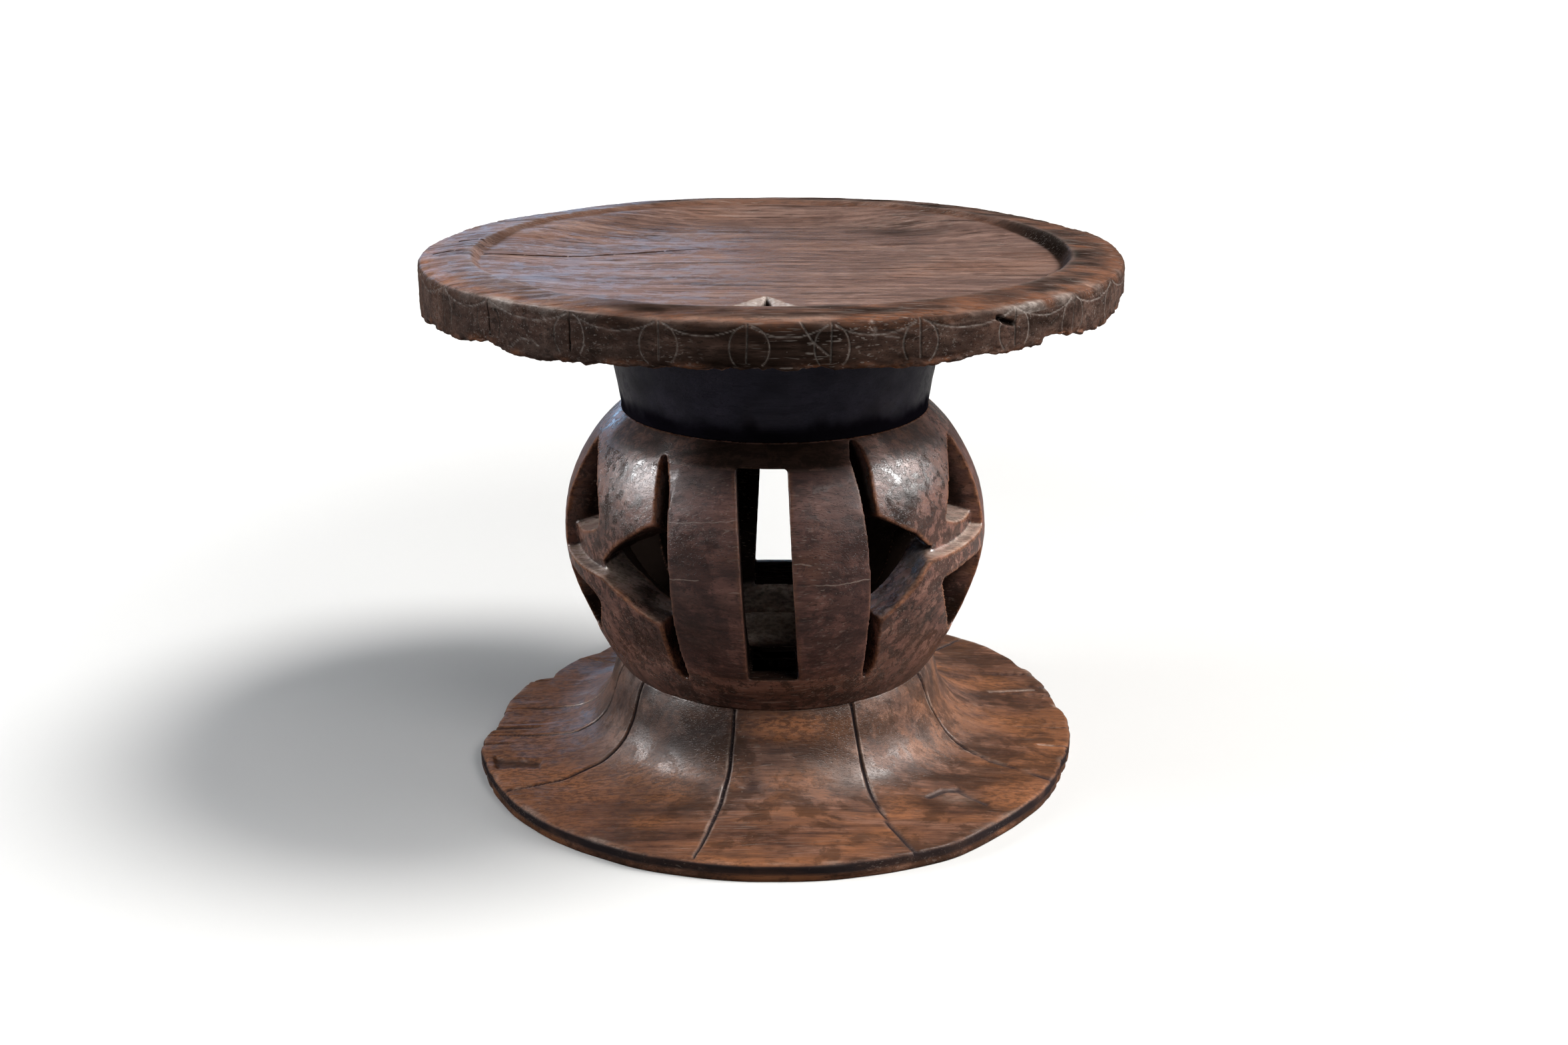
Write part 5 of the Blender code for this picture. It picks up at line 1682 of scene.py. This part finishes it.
def footRows():
    radii, heights = zip(*foot["profile"])
    lengths = np.concatenate([[0.0], np.cumsum(np.hypot(np.diff(radii), np.diff(heights)))])
    well, floor, high = foot["wellRadius"], foot["wellFloor"], foot["high"]
    rows = [(0.0, floor, 1), (well * 0.5, floor, 4), (well * 0.9, floor + 0.001, 2)]
    rows += [(well * (1.0 - 0.02 * t), high - (high - floor) * t, 2) for t in (0.75, 0.5, 0.25, 0.0)]
    start = len(rows) + 1
    for s in np.linspace(0.0, lengths[-1], foot["profileRows"]):
        rows.append((np.interp(s, lengths, radii), np.interp(s, lengths, heights), 1))
    # round the straight stretches between the profile's points
    for _ in range(foot["profileRounds"]):
        for k in range(start, len(rows) - 1):
            r, z = (rows[k][i] * 0.5 + (rows[k - 1][i] + rows[k + 1][i]) * 0.25 for i in (0, 1))
            rows[k] = (r, z, 1)
    plate, edge, corner, low = foot["plate"], foot["edge"], foot["edgeRound"], foot["bottomRound"]
    for t in np.linspace(0.0, 1.0, 7)[1:]:
        turn = math.radians(90.0 * (1.0 - t))
        rows.append((plate - corner + corner * math.cos(turn), edge - corner + corner * math.sin(turn), 1))
    rows += [(plate, z, 1) for z in np.linspace(edge - corner, low, 9)[1:]]
    return rows + [(plate - low, 0.0, 1)] + [(r, 0.0, stride) for r, stride in foot["bottomRows"]]


def footForm():
    # the turned foot with its worn outline, ragged where the grain ends, and where each of its points lies
    spots = [(line[1][1], foot["grooveReach"]) for line in foot["grooves"]] + list(foot["fineSpots"])
    angle, radius, height, faceGroups = spinRows(footRows(), crowdedTurns(spots, *foot["turnSteps"]))
    degrees = np.degrees(angle)
    base = onAxis(angle, radius, height)
    endGrain = smoothStep(0.80, 0.97, np.abs(np.sin(angle)))
    loss = foot["plate"] - between(degrees, foot["rim"])
    grainY = np.stack([np.sign(base[:, 0]), base[:, 1], base[:, 1] * 0.0], 1)
    loss += endGrain * foot["rimRagged"] * np.clip(layeredNoise(grainY, (1.0, 0.007, 1.0), 301, 3), 0.0, 1.0)
    loss += foot["rimWobble"] * layeredNoise(base * (1.0, 1.0, 0.0), (0.04, 0.04, 1.0), 305, 2)
    reach = smoothStep(foot["wornFrom"], foot["plate"], radius)
    mesh = meshFromArrays("foot", onAxis(angle, radius - loss * reach, height), faceGroups)
    points, normals = readPoints(mesh), readNormals(mesh)
    above = (height > foot["plainBelow"]) & (radius > foot["plainInside"]) & (height < foot["high"] - 0.0002)
    return mesh, SimpleNamespace(
        degrees=degrees, front=np.cos(angle), radius=radius, height=height, points=points, normals=normals,
        above=above, onTop=above & (normals[:, 2] > 0.05),
    )


def mark(wear, **amounts):
    # the strongest mark wins at each point
    for name, values in amounts.items():
        wear[name] = np.maximum(wear[name], values)


def carveFoot(mesh, at):
    # grooves, splits, knots, scars and tool marks; returns the depth and shades they leave
    points, radius, onTop = at.points, at.radius, at.onTop
    x, y = points[:, 0], points[:, 1]
    wear = {name: np.zeros(len(radius)) for name in ("depth", "dark", "pale")}
    spin = np.random.default_rng(19)
    wander = 0.0005 * softNoise(points, 0.012, 311)
    width = foot["grooveWide"] * (1.0 + 0.25 * softNoise(points, 0.02, 313))
    width = width * (1.0 - 0.35 * smoothStep(0.2, 0.228, radius))
    worn = noisy(0.12, 0.4, softNoise(points, 0.009, 315), 0.0, 0.4) * (at.front > 0.3)
    for groove in foot["grooves"]:
        away = (at.degrees - between(radius, groove) + 180.0) % 360.0 - 180.0
        across = np.abs(np.radians(away) * radius - wander)
        fade = 1.0 - smoothStep(*foot["grooveFade"], radius) * (0.4 if spin.uniform() < 0.5 else 1.0)
        cut = np.clip(1.0 - across / (width * 1.3), 0.0, 1.0) * fade * onTop
        lip = bell(across, width * 1.5, foot["lipWide"]) * fade * onTop
        mark(wear, depth=foot["grooveDeep"] * cut**0.8, dark=smoothStep(0.15, 0.60, cut), pale=lip * worn)
    drift = 0.0006 * softNoise(points, (0.012, 1.0, 1.0), 317)
    for side, level, length, wide, deep in foot["splits"]:
        inwards = math.sqrt(foot["plate"] ** 2 - level * level) - side * x
        cut = 1.0 - smoothStep(wide * 0.4, wide * 1.5, np.abs(y - level - drift))
        cut = cut * (1.0 - smoothStep(length * 0.55, length, inwards))
        cut = cut * (side * x > 0) * (radius > foot["wornFrom"]) * at.above
        mark(wear, depth=deep * cut, dark=cut * 0.85)
    rough = 0.7 + 0.5 * softNoise(points, 0.004, 341)
    for middleX, middleY, size, deep, shade, light in foot["knots"]:
        spot = bell(x, middleX, size) * bell(y, middleY, size * 0.7) * onTop
        mark(wear, depth=deep * spot * rough, dark=spot * shade, pale=spot * light)
    for path, wide, deep, shade, light, (reach, cell, seed) in foot["scars"]:
        away = lineDistance(x, y, path) + reach * softNoise(points, cell, seed)
        cut = (1.0 - smoothStep(0.0006, wide, away)) * onTop
        mark(wear, depth=deep * cut, dark=cut * shade, pale=cut * light)
    gouge = insideWedge(x, y, foot["gouge"]) + 0.0012 * softNoise(points, 0.006, 345)
    gouge = smoothStep(0.0, 0.0025, gouge) * onTop
    mark(wear, depth=foot["gougeDeep"] * gouge, dark=gouge * 0.5)
    tools = foot["waveDeep"] * layeredNoise(points, (0.060, 0.040, 0.040), 321, 3)
    fibre = foot["fibreDeep"] * softNoise(points, (0.050, 0.0034, 0.0034), 331)
    tools += fibre * smoothStep(0.14, 0.19, radius)
    writePoints(mesh, points + at.normals * (tools * at.above - wear["depth"])[:, None])
    return wear


def wearFoot(mesh, at, wear):
    # worn and dirty places, with painted light and painted shade, painted on the mesh
    points, radius, height, onTop = at.points, at.radius, at.height, at.onTop
    x, y = points[:, 0], points[:, 1]
    mask = layeredNoise(points, (0.050, 0.018, 0.018), 351, 4)
    column = smoothStep(*foot["column"], radius) * onTop
    inFront = column * (y < 0)
    darkening, glow = (bell(x, *foot[k][0]) * bell(height, *foot[k][1]) * inFront for k in ("darkening", "glow"))
    mark(wear, dark=column * noisy(0.14, 0.5, mask, 0.0, 0.6))
    mark(wear, dark=darkening * noisy(0.6, 0.3, mask, 0.0, 0.8))
    # the well: painted light on the wall at the back, painted shade on the floor
    inWell, floor = radius < foot["wellRadius"] + 0.0005, foot["wellFloor"] + 0.003
    mark(wear, pale=inWell * (height > floor) * (y > 0) * noisy(0.75, 0.4, mask, 0.0, 1.0))
    mark(wear, dark=inWell * (height < floor) * 0.9)
    band = hump(height, foot["edgeBand"]) * (radius > foot["edgeInside"])
    rimTop = bell(radius, *foot["rimTop"]) * (height > foot["edgeTop"])
    mark(wear, dark=band * noisy(0.95, 0.3, mask, 0.0, 1.0), pale=rimTop * noisy(-0.1, 0.6, mask, 0.0, 0.4))
    warm = np.clip(layeredNoise(points, (0.090, 0.035, 0.035), 361, 3), 0.0, 0.6)
    warm = warm * onTop * smoothStep(0.125, 0.15, radius) + 1.3 * glow
    # painted light: the left of the plate, which lies in the cast shadow, painted warmer and lighter
    warm += 0.65 * smoothStep(0.10, 0.18, -x) * onTop
    dark = wear["dark"] * (1.0 - 0.85 * glow * (wear["dark"] < 0.6))
    dull = smoothStep(*foot["flatFrom"], radius) * (0.60 + 0.10 * smoothStep(0.05, 0.18, -x))
    paintPoints(mesh, pale=wear["pale"], dark=dark, warm=warm * (1.0 - dark), dull=dull)


def buildFoot():
    mesh, at = footForm()
    wearFoot(mesh, at, carveFoot(mesh, at))
    look = {**baseLook, **foot["look"]}
    addPiece("trumpetFoot", mesh, woodFinish("footPatina", look), "foot")


buildFoot()
print("foot built")
